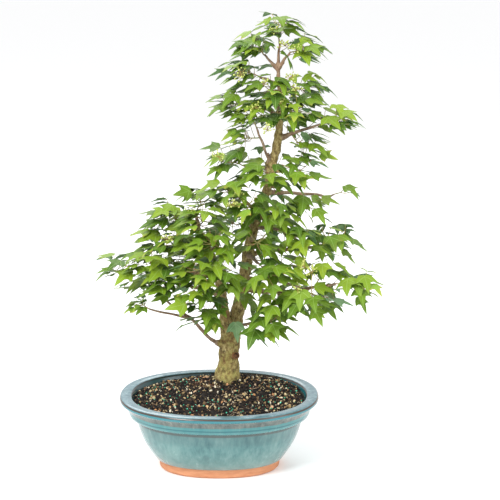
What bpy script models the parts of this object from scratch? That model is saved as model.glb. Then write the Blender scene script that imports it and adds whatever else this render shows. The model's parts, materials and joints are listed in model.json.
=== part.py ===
"""Trident maple bonsai with two trunks, in an oval glazed pot.

Metres, +Z up. The origin is the middle of the pot's foot on the table top. The long way of
the pot lies along X and the front of the tree faces -Y.
"""

import math
import random

import bmesh
import bpy
from mathutils import Matrix, Vector
from mathutils.bvhtree import BVHTree

UP = Vector((0.0, 0.0, 1.0))
GAP = 0.0004  # clearance between pieces that touch

# ---- pot --------------------------------------------------------------------------------
POT_HALF_LENGTH = 0.1524
POT_HALF_WIDTH = 0.120
PLAN_POWER = 2.25  # 2 is an ellipse, more is squarer
PLAN_STEPS = 44
WIDTH_FALL = 0.93  # how far the short side moves in for each step in of the long side

# Half length and height of each edge of the section, up the outside and down the inside.
POT_OUTSIDE = (
    (0.0780, 0.0030), (0.0800, 0.0000), (0.0905, 0.0000), (0.0925, 0.0020), (0.0935, 0.0140),
    (0.0985, 0.0160), (0.1065, 0.0280), (0.1155, 0.0430), (0.1225, 0.0600), (0.1272, 0.0780),
    (0.1300, 0.0826), (0.1345, 0.0840), (0.1385, 0.0870), (0.1404, 0.0945), (0.1418, 0.0990),
    (0.1450, 0.1050), (0.1508, 0.1074), (0.1524, 0.1108), (0.1505, 0.1140),
)
POT_INSIDE = ((0.1355, 0.1145), (0.1325, 0.1110), (0.1235, 0.0800), (0.1070, 0.0450),
              (0.0920, 0.0180), (0.0850, 0.0120))
FLOOR_HEIGHT = POT_INSIDE[-1][1]

DRAIN_OFFSET = 0.050
DRAIN_RADIUS = 0.0100
DRAIN_SIDES = 16

SCREEN_CELL = 0.0045
SCREEN_CELLS = 7
SCREEN_THICKNESS = 0.0010

# ---- soil -------------------------------------------------------------------------------
SOIL_EDGE_HEIGHT = 0.1060
SOIL_MOUND = 0.0175
SOIL_MOUND_POWER = 0.85
SOIL_BOTTOM = FLOOR_HEIGHT + GAP + SCREEN_THICKNESS + GAP
SOIL_RINGS = (0.90, 0.74, 0.56, 0.38, 0.20)

# ---- wood: x, y, z and radius of each point -----------------------------------------------
TRUNK = (
    (0.012, 0.042, 0.078, 0.0150), (0.012, 0.042, 0.104, 0.0230), (0.012, 0.042, 0.123, 0.0234),
    (0.013, 0.042, 0.138, 0.0196), (0.014, 0.043, 0.154, 0.0166), (0.015, 0.043, 0.172, 0.0167),
    (0.017, 0.043, 0.188, 0.0160), (0.020, 0.044, 0.205, 0.0150), (0.026, 0.045, 0.225, 0.0120),
    (0.032, 0.046, 0.250, 0.0106),
    (0.039, 0.048, 0.290, 0.0093), (0.044, 0.047, 0.322, 0.0100), (0.050, 0.046, 0.352, 0.0086),
    (0.060, 0.044, 0.386, 0.0078), (0.073, 0.042, 0.425, 0.0070), (0.080, 0.040, 0.460, 0.0074),
    (0.088, 0.040, 0.494, 0.0072), (0.091, 0.040, 0.525, 0.0060), (0.091, 0.042, 0.568, 0.0042),
    (0.089, 0.042, 0.607, 0.0030),
)
SECOND_TRUNK = (
    (0.010, 0.040, 0.165, 0.0115), (0.010, 0.034, 0.204, 0.0098), (0.006, 0.028, 0.255, 0.0078),
    (-0.002, 0.022, 0.296, 0.0076), (-0.012, 0.019, 0.328, 0.0060), (-0.024, 0.016, 0.356, 0.0042),
    (-0.031, 0.015, 0.372, 0.0030),
)
TRUNK_SIDES = 12
SECOND_TRUNK_SIDES = 9

ROOT_COUNT = 6
ROOT_LENGTH = 0.040
ROOT_RADIUS = 0.0085
ROOT_TIP_RADIUS = 0.0030
ROOT_START_HEIGHT = 0.1180
ROOT_DROP = 0.026

# Each branch: radius at its root, radius at its tip, its points, and its leafy shoots as
# (place along the branch, where the shoot ends, pairs of leaves).
BRANCHES = {
    # low on the left, below the foliage
    "low_left": (0.0030, 0.0015, (
        (0.004, 0.038, 0.178), (-0.015, 0.030, 0.193), (-0.043, 0.022, 0.226),
        (-0.072, 0.015, 0.236), (-0.106, 0.011, 0.245)),
        ((1.0, (-0.118, 0.008, 0.254), 2),)),
    "low_left_fork": (0.0020, 0.0013, (
        (-0.043, 0.022, 0.226), (-0.060, 0.028, 0.237), (-0.085, 0.036, 0.256),
        (-0.098, 0.040, 0.268)),
        ((1.0, (-0.110, 0.032, 0.286), 3),)),
    # the wide pad on the second trunk
    "left_drooping": (0.0026, 0.0014, (
        (0.003, 0.030, 0.245), (-0.003, 0.014, 0.252), (-0.008, 0.002, 0.250)),
        ((1.0, (-0.018, -0.016, 0.238), 3),)),
    "left_under": (0.0040, 0.0017, (
        (0.003, 0.028, 0.262), (-0.018, 0.008, 0.276), (-0.050, -0.010, 0.288)),
        ((1.0, (-0.086, -0.022, 0.296), 4), (0.55, (-0.040, -0.044, 0.292), 4))),
    "left_long": (0.0045, 0.0016, (
        (-0.001, 0.024, 0.292), (-0.035, 0.012, 0.301), (-0.075, 0.002, 0.308),
        (-0.112, -0.006, 0.313)),
        ((1.0, (-0.152, -0.008, 0.319), 3), (0.66, (-0.102, -0.034, 0.324), 4),
         (0.45, (-0.076, 0.050, 0.302), 4))),
    "left_front": (0.0036, 0.0016, (
        (0.000, 0.023, 0.300), (-0.006, -0.010, 0.313), (-0.014, -0.030, 0.319)),
        ((1.0, (-0.028, -0.062, 0.326), 4), (0.50, (0.018, -0.040, 0.314), 4))),
    "left_back": (0.0036, 0.0016, (
        (-0.008, 0.020, 0.318), (-0.020, 0.050, 0.318), (-0.026, 0.072, 0.312)),
        ((1.0, (-0.030, 0.106, 0.300), 4),)),
    "left_middle": (0.0038, 0.0016, (
        (-0.012, 0.019, 0.328), (-0.036, 0.017, 0.341), (-0.066, 0.022, 0.350)),
        ((1.0, (-0.101, 0.030, 0.355), 4), (0.50, (-0.056, -0.012, 0.357), 4))),
    "left_inner": (0.0028, 0.0015, (
        (-0.012, 0.019, 0.328), (-0.009, -0.004, 0.342), (-0.007, -0.016, 0.350)),
        ((1.0, (-0.006, -0.050, 0.360), 4),)),
    "left_shoulder": (0.0026, 0.0014, (
        (-0.024, 0.016, 0.356), (-0.042, 0.014, 0.372), (-0.052, 0.012, 0.381)),
        ((1.0, (-0.080, 0.008, 0.393), 4), (0.35, (-0.026, -0.026, 0.390), 4))),
    "left_peak": (0.0024, 0.0013, (
        (-0.031, 0.015, 0.372), (-0.033, 0.022, 0.390), (-0.032, 0.026, 0.398)),
        ((1.0, (-0.031, 0.032, 0.416), 3),)),
    # between the trunks and up the main one
    "cross_left": (0.0030, 0.0015, (
        (0.060, 0.044, 0.388), (0.045, 0.040, 0.402), (0.030, 0.024, 0.416)),
        ((1.0, (0.014, -0.004, 0.432), 4), (0.50, (0.048, -0.012, 0.418), 4))),
    "cross_back": (0.0028, 0.0015, (
        (0.054, 0.045, 0.366), (0.044, 0.056, 0.368)),
        ((1.0, (0.018, 0.066, 0.368), 4),)),
    "left_rise": (0.0024, 0.0013, (
        (0.079, 0.040, 0.455), (0.056, 0.038, 0.460), (0.038, 0.039, 0.461)),
        ((1.0, (0.008, 0.041, 0.462), 3),)),
    "middle_back": (0.0024, 0.0014, (
        (0.076, 0.041, 0.440), (0.068, 0.054, 0.441)),
        ((1.0, (0.050, 0.078, 0.442), 4),)),
    "middle_front": (0.0026, 0.0014, (
        (0.078, 0.041, 0.447), (0.078, 0.024, 0.453)),
        ((1.0, (0.076, -0.008, 0.462), 4),)),
    "middle_right": (0.0026, 0.0014, (
        (0.062, 0.044, 0.390), (0.074, 0.028, 0.393)),
        ((1.0, (0.098, 0.002, 0.398), 4),)),
    "right_arm": (0.0030, 0.0012, (
        (0.071, 0.042, 0.420), (0.108, 0.054, 0.417), (0.146, 0.066, 0.412),
        (0.166, 0.072, 0.406), (0.176, 0.075, 0.410)),
        ((1.0, (0.186, 0.078, 0.416), 1), (0.35, (0.130, 0.034, 0.400), 4))),
    "right_stub_twig": (0.0028, 0.0014, (
        (0.080, 0.040, 0.462), (0.097, 0.026, 0.464)),
        ((1.0, (0.122, 0.002, 0.462), 4),)),
    "red_twig": (0.0022, 0.0012, (
        (0.080, 0.040, 0.462), (0.071, 0.030, 0.482), (0.060, 0.022, 0.512),
        (0.057, 0.019, 0.522)),
        ((1.0, (0.050, 0.015, 0.540), 2), (0.60, (0.038, 0.030, 0.503), 3))),
    # lower right
    "lowest_right": (0.0032, 0.0016, (
        (0.018, 0.044, 0.205), (0.036, 0.034, 0.213), (0.056, 0.014, 0.225)),
        ((1.0, (0.082, -0.018, 0.236), 4),)),
    "right_low": (0.0042, 0.0016, (
        (0.035, 0.047, 0.268), (0.075, 0.020, 0.270), (0.109, 0.000, 0.275),
        (0.145, -0.008, 0.285), (0.176, -0.013, 0.291)),
        ((1.0, (0.220, -0.020, 0.299), 4), (0.74, (0.170, 0.016, 0.306), 4),
         (0.55, (0.142, -0.040, 0.282), 4), (0.36, (0.098, -0.036, 0.270), 4))),
    "right_low_back": (0.0035, 0.0016, (
        (0.038, 0.048, 0.283), (0.074, 0.066, 0.278), (0.124, 0.070, 0.264)),
        ((1.0, (0.168, 0.064, 0.252), 4), (0.40, (0.066, 0.108, 0.270), 4))),
    "right_front": (0.0035, 0.0016, (
        (0.043, 0.046, 0.323), (0.054, 0.010, 0.323), (0.061, -0.014, 0.322)),
        ((1.0, (0.068, -0.050, 0.322), 4), (0.50, (0.104, -0.018, 0.320), 4))),
    "right_middle": (0.0036, 0.0014, (
        (0.044, 0.047, 0.321), (0.078, 0.050, 0.328), (0.121, 0.058, 0.329),
        (0.155, 0.066, 0.328), (0.170, 0.069, 0.333)),
        ((1.0, (0.192, 0.071, 0.340), 2), (0.68, (0.164, 0.050, 0.350), 4))),
    "right_back": (0.0030, 0.0015, (
        (0.046, 0.047, 0.336), (0.066, 0.072, 0.341)),
        ((1.0, (0.092, 0.102, 0.345), 4),)),
    "centre_front": (0.0030, 0.0015, (
        (0.048, 0.046, 0.344), (0.052, 0.022, 0.354), (0.054, 0.006, 0.358)),
        ((1.0, (0.060, -0.030, 0.363), 4),)),
    "right_shoulder": (0.0032, 0.0015, (
        (0.054, 0.045, 0.366), (0.078, 0.031, 0.366), (0.094, 0.020, 0.365)),
        ((1.0, (0.122, -0.002, 0.361), 4),)),
    # the crown
    "high_right": (0.0032, 0.0013, (
        (0.089, 0.040, 0.502), (0.122, 0.024, 0.517), (0.150, 0.008, 0.529)),
        ((1.0, (0.180, -0.004, 0.538), 3), (0.30, (0.140, 0.034, 0.490), 4))),
    "high_left": (0.0028, 0.0014, (
        (0.091, 0.041, 0.536), (0.070, 0.045, 0.547), (0.046, 0.049, 0.552)),
        ((1.0, (0.014, 0.050, 0.554), 4), (0.45, (0.056, 0.010, 0.544), 4))),
    "high_front": (0.0026, 0.0014, (
        (0.091, 0.041, 0.546), (0.098, 0.024, 0.551)),
        ((1.0, (0.116, -0.002, 0.554), 4),)),
    "high_back": (0.0026, 0.0014, (
        (0.091, 0.041, 0.530), (0.091, 0.062, 0.534)),
        ((1.0, (0.092, 0.096, 0.538), 4),)),
    "crown_front": (0.0024, 0.0013, (
        (0.091, 0.042, 0.570), (0.087, 0.026, 0.577)),
        ((1.0, (0.078, -0.002, 0.588), 4),)),
    "crown_right": (0.0024, 0.0013, (
        (0.090, 0.042, 0.575), (0.108, 0.045, 0.580)),
        ((1.0, (0.134, 0.048, 0.582), 4),)),
    "crown_left": (0.0024, 0.0013, (
        (0.090, 0.042, 0.582), (0.070, 0.037, 0.593), (0.060, 0.034, 0.597)),
        ((1.0, (0.032, 0.030, 0.602), 4),)),
    "tip_left": (0.0022, 0.0012, (
        (0.089, 0.042, 0.605), (0.073, 0.049, 0.622), (0.068, 0.051, 0.627)),
        ((1.0, (0.048, 0.052, 0.634), 4),)),
    "tip_right": (0.0024, 0.0013, (
        (0.089, 0.042, 0.605), (0.101, 0.033, 0.626), (0.106, 0.031, 0.632)),
        ((1.0, (0.124, 0.028, 0.642), 4),)),
    "leader": (0.0022, 0.0012, (
        (0.089, 0.042, 0.605), (0.090, 0.046, 0.634), (0.091, 0.047, 0.646)),
        ((1.0, (0.092, 0.050, 0.671), 4),)),
}
BRANCH_SIDES = 6

# ---- leaves: a three-lobed outline for a leaf one unit long, right half only ----------------
LEAF_SHOULDER = (0.28, 0.06)
LEAF_SIDE_TIP = (0.52, 0.44)
LEAF_NOTCH = (0.17, 0.47)
LEAF_CENTRE = 0.30
LEAF_LENGTH = (0.029, 0.037)
LEAF_HALF_THICKNESS = 0.0006
PETIOLE_LENGTH = (0.015, 0.024)
PETIOLE_WIDTH = 0.0008
SHOOT_RADIUS = 0.0009
SHOOT_WOBBLE = 0.004
SHOOT_BEND = -0.04
SHOOT_BARE = 0.12
NODE_HALF_LENGTH = 0.0014
LEAF_TRIES = 14
YOUNG_LEAF_SIZE = {"low_left": 0.62, "red_twig": 0.80}
SHOOT_SEED = 50


# ------------------------------------------------------------------------------ helpers ----
def remove_everything():
    for item in list(bpy.data.objects):
        bpy.data.objects.remove(item, do_unlink=True)


def make_material(name, colour, roughness):
    material = bpy.data.materials.new(name)
    material.use_nodes = True
    shader = material.node_tree.nodes["Principled BSDF"]
    shader.inputs["Base Color"].default_value = (*colour, 1.0)
    shader.inputs["Roughness"].default_value = roughness
    shader.inputs["Metallic"].default_value = 0.0
    return material


def add_object(name, mesh, material):
    item = bpy.data.objects.new(name, mesh)
    bpy.context.scene.collection.objects.link(item)
    mesh.materials.append(material)
    return item


def mesh_from(name, bm):
    bmesh.ops.recalc_face_normals(bm, faces=bm.faces)
    if bm.calc_volume(signed=True) < 0.0:
        bmesh.ops.reverse_faces(bm, faces=bm.faces)
    mesh = bpy.data.meshes.new(name)
    bm.to_mesh(mesh)
    bm.free()
    return mesh


def hide_cutter(item):
    item.hide_render = True
    item.display_type = "WIRE"


def add_boolean(item, other, operation):
    hide_cutter(other)
    modifier = item.modifiers.new(other.name, "BOOLEAN")
    modifier.operation = operation
    modifier.object = other


def shade_round(mesh, angle):
    mesh.shade_smooth()
    mesh.set_sharp_from_angle(angle=math.radians(angle))


# ----------------------------------------------------------------------------- pot, soil ----
def oval_point(half_length, step, height):
    """A point of the pot's rounded-rectangle plan, at one of PLAN_STEPS angles."""
    half_width = POT_HALF_WIDTH - WIDTH_FALL * (POT_HALF_LENGTH - half_length)
    angle = 2.0 * math.pi * step / PLAN_STEPS
    c, s = math.cos(angle), math.sin(angle)
    x = half_length * math.copysign(abs(c) ** (2.0 / PLAN_POWER), c)
    y = half_width * math.copysign(abs(s) ** (2.0 / PLAN_POWER), s)
    return Vector((x, y, height))


def oval_ring(bm, half_length, height):
    return [bm.verts.new(oval_point(half_length, step, height)) for step in range(PLAN_STEPS)]


def bridge(bm, lower, upper):
    count = len(lower)
    for i in range(count):
        bm.faces.new((lower[i], lower[(i + 1) % count], upper[(i + 1) % count], upper[i]))


def close_with_fan(bm, ring, centre):
    middle = bm.verts.new(centre)
    for i, corner in enumerate(ring):
        bm.faces.new((corner, ring[(i + 1) % len(ring)], middle))


def make_pot(material):
    bm = bmesh.new()
    rings = [oval_ring(bm, half, height) for half, height in POT_OUTSIDE + POT_INSIDE]
    for lower, upper in zip(rings, rings[1:]):
        bridge(bm, lower, upper)
    bm.faces.new(rings[0])
    bm.faces.new(rings[-1])
    mesh = mesh_from("pot", bm)
    shade_round(mesh, 35)
    pot = add_object("pot", mesh, material)
    for side in (-1, 1):
        bpy.ops.mesh.primitive_cylinder_add(vertices=DRAIN_SIDES, radius=DRAIN_RADIUS, depth=0.05,
                                            location=(side * DRAIN_OFFSET, 0, FLOOR_HEIGHT))
        hole = bpy.context.object
        hole.name = "drain_cutter_left" if side < 0 else "drain_cutter_right"
        add_boolean(pot, hole, "DIFFERENCE")


def make_drain_screen(name, centre_x, material):
    """A square of plastic mesh that keeps the soil in: every other cell is open."""
    bm = bmesh.new()
    start = -0.5 * SCREEN_CELLS * SCREEN_CELL
    low = FLOOR_HEIGHT + GAP
    for i in range(SCREEN_CELLS):
        for j in range(SCREEN_CELLS):
            if i % 2 == 1 and j % 2 == 1:
                continue
            x, y = centre_x + start + i * SCREEN_CELL, start + j * SCREEN_CELL
            corners = ((x, y), (x + SCREEN_CELL, y), (x + SCREEN_CELL, y + SCREEN_CELL),
                       (x, y + SCREEN_CELL))
            bm.faces.new([bm.verts.new((cx, cy, low)) for cx, cy in corners])
    bmesh.ops.remove_doubles(bm, verts=bm.verts, dist=0.0001)
    top = bmesh.ops.extrude_face_region(bm, geom=bm.faces[:])["geom"]
    lifted = [item for item in top if isinstance(item, bmesh.types.BMVert)]
    bmesh.ops.translate(bm, verts=lifted, vec=(0, 0, SCREEN_THICKNESS))
    add_object(name, mesh_from(name, bm), material)


def wall_half_length(height):
    """Half length of the pot's inner wall at a height, straight between its edges."""
    for (outer, high), (inner, low) in zip(POT_INSIDE, POT_INSIDE[1:]):
        if low <= height <= high:
            return inner + (outer - inner) * (height - low) / (high - low)
    return POT_INSIDE[-1][0]


def soil_height(x, y, share):
    """Height of the soil at a share of the way from the trunk to the pot's wall."""
    ripple = 0.0008 * math.sin(61.0 * x + 1.3) * math.sin(73.0 * y + 0.4)
    mound = 0.5 + 0.5 * math.cos(math.pi * share ** SOIL_MOUND_POWER)
    return SOIL_EDGE_HEIGHT + SOIL_MOUND * mound + ripple


def lengthened(route):
    """A route with both its ends moved out by the clearance."""
    points = [Vector(point) for point in route]
    for end, beside in ((0, 1), (-1, -2)):
        away = points[end] - points[beside]
        points[end] = points[end] + away * (GAP / Vector(away[:3]).length)
    return points


def make_soil(material, roots):
    bm = bmesh.new()
    heights = [SOIL_BOTTOM + 0.0004, 0.0180, 0.0450, 0.0800]
    rings = [oval_ring(bm, wall_half_length(height) - 0.0006, height) for height in heights]
    edge = []
    for step in range(PLAN_STEPS):
        point = oval_point(wall_half_length(SOIL_EDGE_HEIGHT) - 0.0006, step, 0.0)
        edge.append(bm.verts.new((point.x, point.y, SOIL_EDGE_HEIGHT)))
    rings.append(edge)
    foot = Vector((TRUNK[2][0], TRUNK[2][1], 0.0))
    for share in SOIL_RINGS:
        ring = []
        for step in range(PLAN_STEPS):
            flat = oval_point(wall_half_length(SOIL_EDGE_HEIGHT), step, 0.0)
            point = foot.lerp(flat, share)
            ring.append(bm.verts.new((point.x, point.y, soil_height(point.x, point.y, share))))
        rings.append(ring)
    for lower, upper in zip(rings, rings[1:]):
        bridge(bm, lower, upper)
    bm.faces.new(rings[0])
    close_with_fan(bm, rings[-1], (foot.x, foot.y, soil_height(foot.x, foot.y, 0.0)))
    mesh = mesh_from("soil", bm)
    shade_round(mesh, 50)
    soil = add_object("soil", mesh, material)
    trunk = make_tube("soil_cutter_trunk", lengthened(smooth_route(TRUNK[:5], 0)), TRUNK_SIDES, GAP,
                      material)
    add_boolean(soil, trunk, "DIFFERENCE")
    for index, root in enumerate(roots):
        hollow = make_tube(f"soil_cutter_root_{index}", lengthened(root), BRANCH_SIDES, GAP, material)
        add_boolean(soil, hollow, "DIFFERENCE")


# ---------------------------------------------------------------------------------- wood ----
def smooth_route(points, between):
    """A Catmull-Rom curve through the points (x, y, z, radius), with points put between."""
    ends = [points[0], *points, points[-1]]
    route = []
    for i in range(1, len(ends) - 2):
        p0, p1, p2, p3 = (Vector(ends[k]) for k in range(i - 1, i + 3))
        for j in range(between + 1):
            t = j / (between + 1)
            route.append(0.5 * (2 * p1 + (p2 - p0) * t + (2 * p0 - 5 * p1 + 4 * p2 - p3) * t * t
                                + (3 * p1 - p0 - 3 * p2 + p3) * t ** 3))
    route.append(Vector(points[-1]))
    return route


def tube_rings(route, sides, extra):
    """Rings of points round a route, carried along it without twisting."""
    places = [Vector(point[:3]) for point in route]
    across = UP.cross(places[1] - places[0])
    if across.length < 1e-6:
        across = Vector((1.0, 0.0, 0.0))
    across.normalize()
    rings = []
    for i, place in enumerate(places):
        ahead = places[min(i + 1, len(places) - 1)] - places[max(i - 1, 0)]
        ahead.normalize()
        across = (across - ahead * across.dot(ahead)).normalized()
        beside = ahead.cross(across)
        radius = route[i][3] + extra
        rings.append([place + (across * math.cos(a) + beside * math.sin(a)) * radius
                      for a in (2.0 * math.pi * k / sides for k in range(sides))])
    return rings


def tube_mesh(name, route, sides, extra=0.0):
    bm = bmesh.new()
    rings = [[bm.verts.new(point) for point in ring] for ring in tube_rings(route, sides, extra)]
    for lower, upper in zip(rings, rings[1:]):
        bridge(bm, lower, upper)
    bm.faces.new(rings[0])
    bm.faces.new(rings[-1])
    mesh = mesh_from(name, bm)
    shade_round(mesh, 60)
    return mesh


def make_tube(name, route, sides, extra, material):
    return add_object(name, tube_mesh(name, route, sides, extra), material)


def root_routes():
    routes = []
    rng = random.Random(7)
    for index in range(ROOT_COUNT):
        angle = 2.0 * math.pi * (index + 0.2 + 0.4 * rng.random()) / ROOT_COUNT
        away = Vector((math.cos(angle), math.sin(angle), 0.0))
        centre = Vector((TRUNK[2][0], TRUNK[2][1], ROOT_START_HEIGHT))
        route = []
        for step in range(4):
            t = step / 3.0
            place = centre + away * (0.012 + ROOT_LENGTH * t) - UP * (ROOT_DROP * t ** 1.6)
            radius = ROOT_RADIUS + (ROOT_TIP_RADIUS - ROOT_RADIUS) * t
            route.append((*place, radius))
        routes.append(route)
    return routes


def branch_route(name):
    first, last, points, _ = BRANCHES[name]
    count = len(points) - 1
    return [(*point, first + (last - first) * i / count) for i, point in enumerate(points)]


def make_wood(material, roots):
    trunk = make_tube("trunk_and_branches", smooth_route(TRUNK, 0), TRUNK_SIDES, 0.0, material)
    second = make_tube("second_trunk", smooth_route(SECOND_TRUNK, 0), SECOND_TRUNK_SIDES, 0.0,
                       material)
    add_boolean(trunk, second, "UNION")
    for index, root in enumerate(roots):
        add_boolean(trunk, make_tube(f"root_{index}", root, BRANCH_SIDES, 0.0, material), "UNION")
    for name in BRANCHES:
        route = smooth_route(branch_route(name), 1)
        add_boolean(trunk, make_tube(name, route, BRANCH_SIDES, 0.0, material), "UNION")


def tree_of(points, faces):
    return BVHTree.FromPolygons(points, faces)


def wood_trees():
    """Search trees of the wood, for keeping shoots and leaves clear of it."""
    routes = [(smooth_route(TRUNK, 0), TRUNK_SIDES), (smooth_route(SECOND_TRUNK, 0),
                                                      SECOND_TRUNK_SIDES)]
    routes += [(smooth_route(branch_route(name), 1), BRANCH_SIDES) for name in BRANCHES]
    trees = []
    for route, sides in routes:
        points = [p for ring in tube_rings(route, sides, GAP) for p in ring]
        faces = []
        for i in range(len(route) - 1):
            for k in range(sides):
                a, b = i * sides + k, i * sides + (k + 1) % sides
                faces.append((a, b, b + sides, a + sides))
        faces.append(tuple(range(sides)))
        faces.append(tuple(range(len(points) - sides, len(points))))
        trees.append(tree_of(points, faces))
    return trees


# -------------------------------------------------------------------------------- shoots ----
def turned(direction, degrees):
    return Matrix.Rotation(math.radians(degrees), 3, "Z") @ direction


def shoot_axis(name, shoot, rng):
    """The points along a leafy shoot: its base on the branch, then one at each leaf pair."""
    where, tip, pairs = shoot
    route = smooth_route(branch_route(name), 1)
    at = where * (len(route) - 1)
    i = min(int(at), len(route) - 2)
    here = route[i].lerp(route[i + 1], at - i)
    root = Vector(here[:3])
    wobble = Vector([rng.uniform(-SHOOT_WOBBLE, SHOOT_WOBBLE) for _ in range(3)])
    heading = (Vector(tip) + wobble - root).normalized()
    along = (Vector(route[i + 1][:3]) - Vector(route[i][:3])).normalized()
    leaning = max(0.5, heading.cross(along).length)
    start = 0.0006 + 0.4 * here[3] if where == 1.0 else (here[3] + SHOOT_RADIUS) / leaning + 0.0006
    base = root + heading * start
    length = (Vector(tip) - base).length
    bend = UP * (SHOOT_BEND * length) + wobble
    points = [base]
    for step in range(1, pairs + 1):
        t = SHOOT_BARE + (1.0 - SHOOT_BARE) * step / pairs
        points.append(base + heading * (length * t) + bend * (4.0 * t * (1.0 - t)))
    return points


def carried(right, ahead):
    """The sideways direction of a stem, kept square to it as the stem bends."""
    return (right - ahead * right.dot(ahead)).normalized()


def ring_round(place, ahead, right, twist, radius):
    """Four corners of a square stem whose sides face out to the left and right."""
    above = right.cross(ahead)
    corners = []
    for k in range(4):
        angle = math.radians(45 + 90 * k + twist)
        corners.append(place + (right * math.cos(angle) + above * math.sin(angle)) * radius)
    return corners


def leaf_frame(base, tip_direction, roll):
    """Axes of a blade: along it, across it to the right, and out of its upper face."""
    along = tip_direction.normalized()
    right = along.cross(UP).normalized()
    right = Matrix.Rotation(roll, 3, along) @ right
    return base, along, right, right.cross(along)


def blade_outline(frame, length, grow=1.0):
    base, along, right, _ = frame
    half = (LEAF_SHOULDER, LEAF_SIDE_TIP, LEAF_NOTCH)
    outline = [(x, y) for x, y in half] + [(0.0, 1.0)] + [(-x, y) for x, y in reversed(half)]
    middle = base + along * (LEAF_CENTRE * length)
    points = []
    for x, y in outline:
        droop = -0.10 * abs(x) * length
        point = base + right * (x * length) + along * (y * length)
        point += frame[3] * droop
        points.append(middle + (point - middle) * grow)
    return points


def underside_of(stalk, along, right):
    """The direction below a leaf where its stalk meets the blade."""
    return (stalk.normalized() + along).cross(right).normalized()


def blade_test_shape(frame, length, root):
    """A slightly swollen blade and its petiole, for keeping leaves apart."""
    outline = blade_outline(frame, length, 1.05)
    base, along, right, out = frame
    middle = base + along * (LEAF_CENTRE * length)
    swell = out * 0.0016
    points = [*outline, base - right * 0.0013, base + right * 0.0013, middle + swell,
              middle - swell]
    loop = [8, 0, 1, 2, 3, 4, 5, 6, 7]
    faces = []
    for k in range(9):
        faces.append((loop[k], loop[(k + 1) % 9], 9))
        faces.append((loop[(k + 1) % 9], loop[k], 10))
    stalk = base - root
    below = underside_of(stalk, along, right) * 0.0018
    first = root + stalk * 0.08
    count = len(points)
    points += [first - right * 0.0011, first + right * 0.0011, first + below, base + below]
    faces += [(count, count + 1, 8), (count + 1, count + 2, count + 3)]
    faces += [(count, count + 2, count + 3), (count, count + 3, 7)]
    return tree_of(points, faces), middle


def choose_leaf(root, side, ahead, size, blocked, rng):
    """Try places for one leaf until it touches nothing that is already there."""
    for attempt in range(LEAF_TRIES):
        loose = 1.0 + 0.12 * attempt
        reach = rng.uniform(*PETIOLE_LENGTH) * size
        out = side + ahead * rng.uniform(0.25, 0.75) + UP * rng.uniform(0.05, 0.45) * loose
        out = turned(out, rng.uniform(-12, 12) * loose).normalized()
        base = root + out * reach
        flat = Vector((out.x, out.y, 0.0)).normalized()
        flat = turned(flat, rng.uniform(-22, 22) * loose)
        front = max(0.0, -flat.y)
        droop = math.radians(rng.uniform(8, 38) + 26 * front * rng.random())
        tip = flat * math.cos(droop) - UP * math.sin(droop)
        frame = leaf_frame(base, tip, math.radians(rng.uniform(-22, 22) * loose))
        length = rng.uniform(*LEAF_LENGTH) * size
        tree, middle = blade_test_shape(frame, length, root)
        if not any((middle - place).length < reach_out and tree.overlap(other)
                   for place, reach_out, other in blocked):
            blocked.append((middle, 0.075, tree))
            return frame, length
    return None


def facing(corners, direction):
    """Whether a triangle of corners winds to face along a direction."""
    a, b, c = (corner.co for corner in corners)
    return (b - a).cross(c - a).dot(direction) > 0.0


def spokes(corners, axis):
    """Directions from the middle of some corners out to each, square to an axis."""
    middle = sum((corner.co for corner in corners), Vector()) / len(corners)
    away = [corner.co - middle for corner in corners]
    return [(spoke - axis * spoke.dot(axis)).normalized() for spoke in away]


def build_leaf(bm, quad, frame, length):
    """Grow a petiole and a blade out of one side of the stem, all in one skin."""
    base, along, right, out = frame
    halves = ((quad[0], quad[1], quad[2]), (quad[2], quad[3], quad[0]))
    stalk = (base - 0.5 * (quad[0].co + quad[2].co)).normalized()
    below = underside_of(stalk, along, right)
    wide = right * PETIOLE_WIDTH
    end = [bm.verts.new(base - wide), bm.verts.new(base + wide),
           bm.verts.new(base + below * (1.6 * PETIOLE_WIDTH))]
    way = 1 if facing(halves[0], stalk) == facing(end, stalk) else -1
    choices = [(root, rest, turn) for root, rest in (halves, halves[::-1]) for turn in range(3)]
    spread = spokes(end, stalk)
    root, rest, turn = max(choices, key=lambda choice: sum(
        spoke.dot(spread[(choice[2] + way * i) % 3])
        for i, spoke in enumerate(spokes(choice[0], stalk))))
    bm.faces.new(rest)
    for i in range(3):
        a, b = root[i], root[(i + 1) % 3]
        c, d = end[(turn + way * (i + 1)) % 3], end[(turn + way * i) % 3]
        if (a.co - c.co).length < (b.co - d.co).length:
            corners = ((a, b, c), (a, c, d))
        else:
            corners = ((a, b, d), (b, c, d))
        for corner in corners:
            bm.faces.new(corner)
    outline = [bm.verts.new(point) for point in blade_outline(frame, length)]
    middle = base + along * (LEAF_CENTRE * length)
    top = bm.verts.new(middle + out * LEAF_HALF_THICKNESS)
    bottom = bm.verts.new(middle - out * LEAF_HALF_THICKNESS)
    loop = [end[1], *outline, end[0]]
    for a, b in zip(loop, loop[1:]):
        bm.faces.new((a, b, top))
        bm.faces.new((b, a, bottom))
    bm.faces.new((end[0], end[1], top))
    bm.faces.new((end[0], end[2], bottom))
    bm.faces.new((end[2], end[1], bottom))


def axis_test_shape(points):
    route = [(*point, SHOOT_RADIUS + 0.0006) for point in points]
    corners = [p for ring in tube_rings(route, 4, 0.0) for p in ring]
    faces = []
    for i in range(len(route) - 1):
        for k in range(4):
            a, b = i * 4 + k, i * 4 + (k + 1) % 4
            faces.append((a, b, b + 4, a + 4))
    return tree_of(corners, faces)


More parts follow.
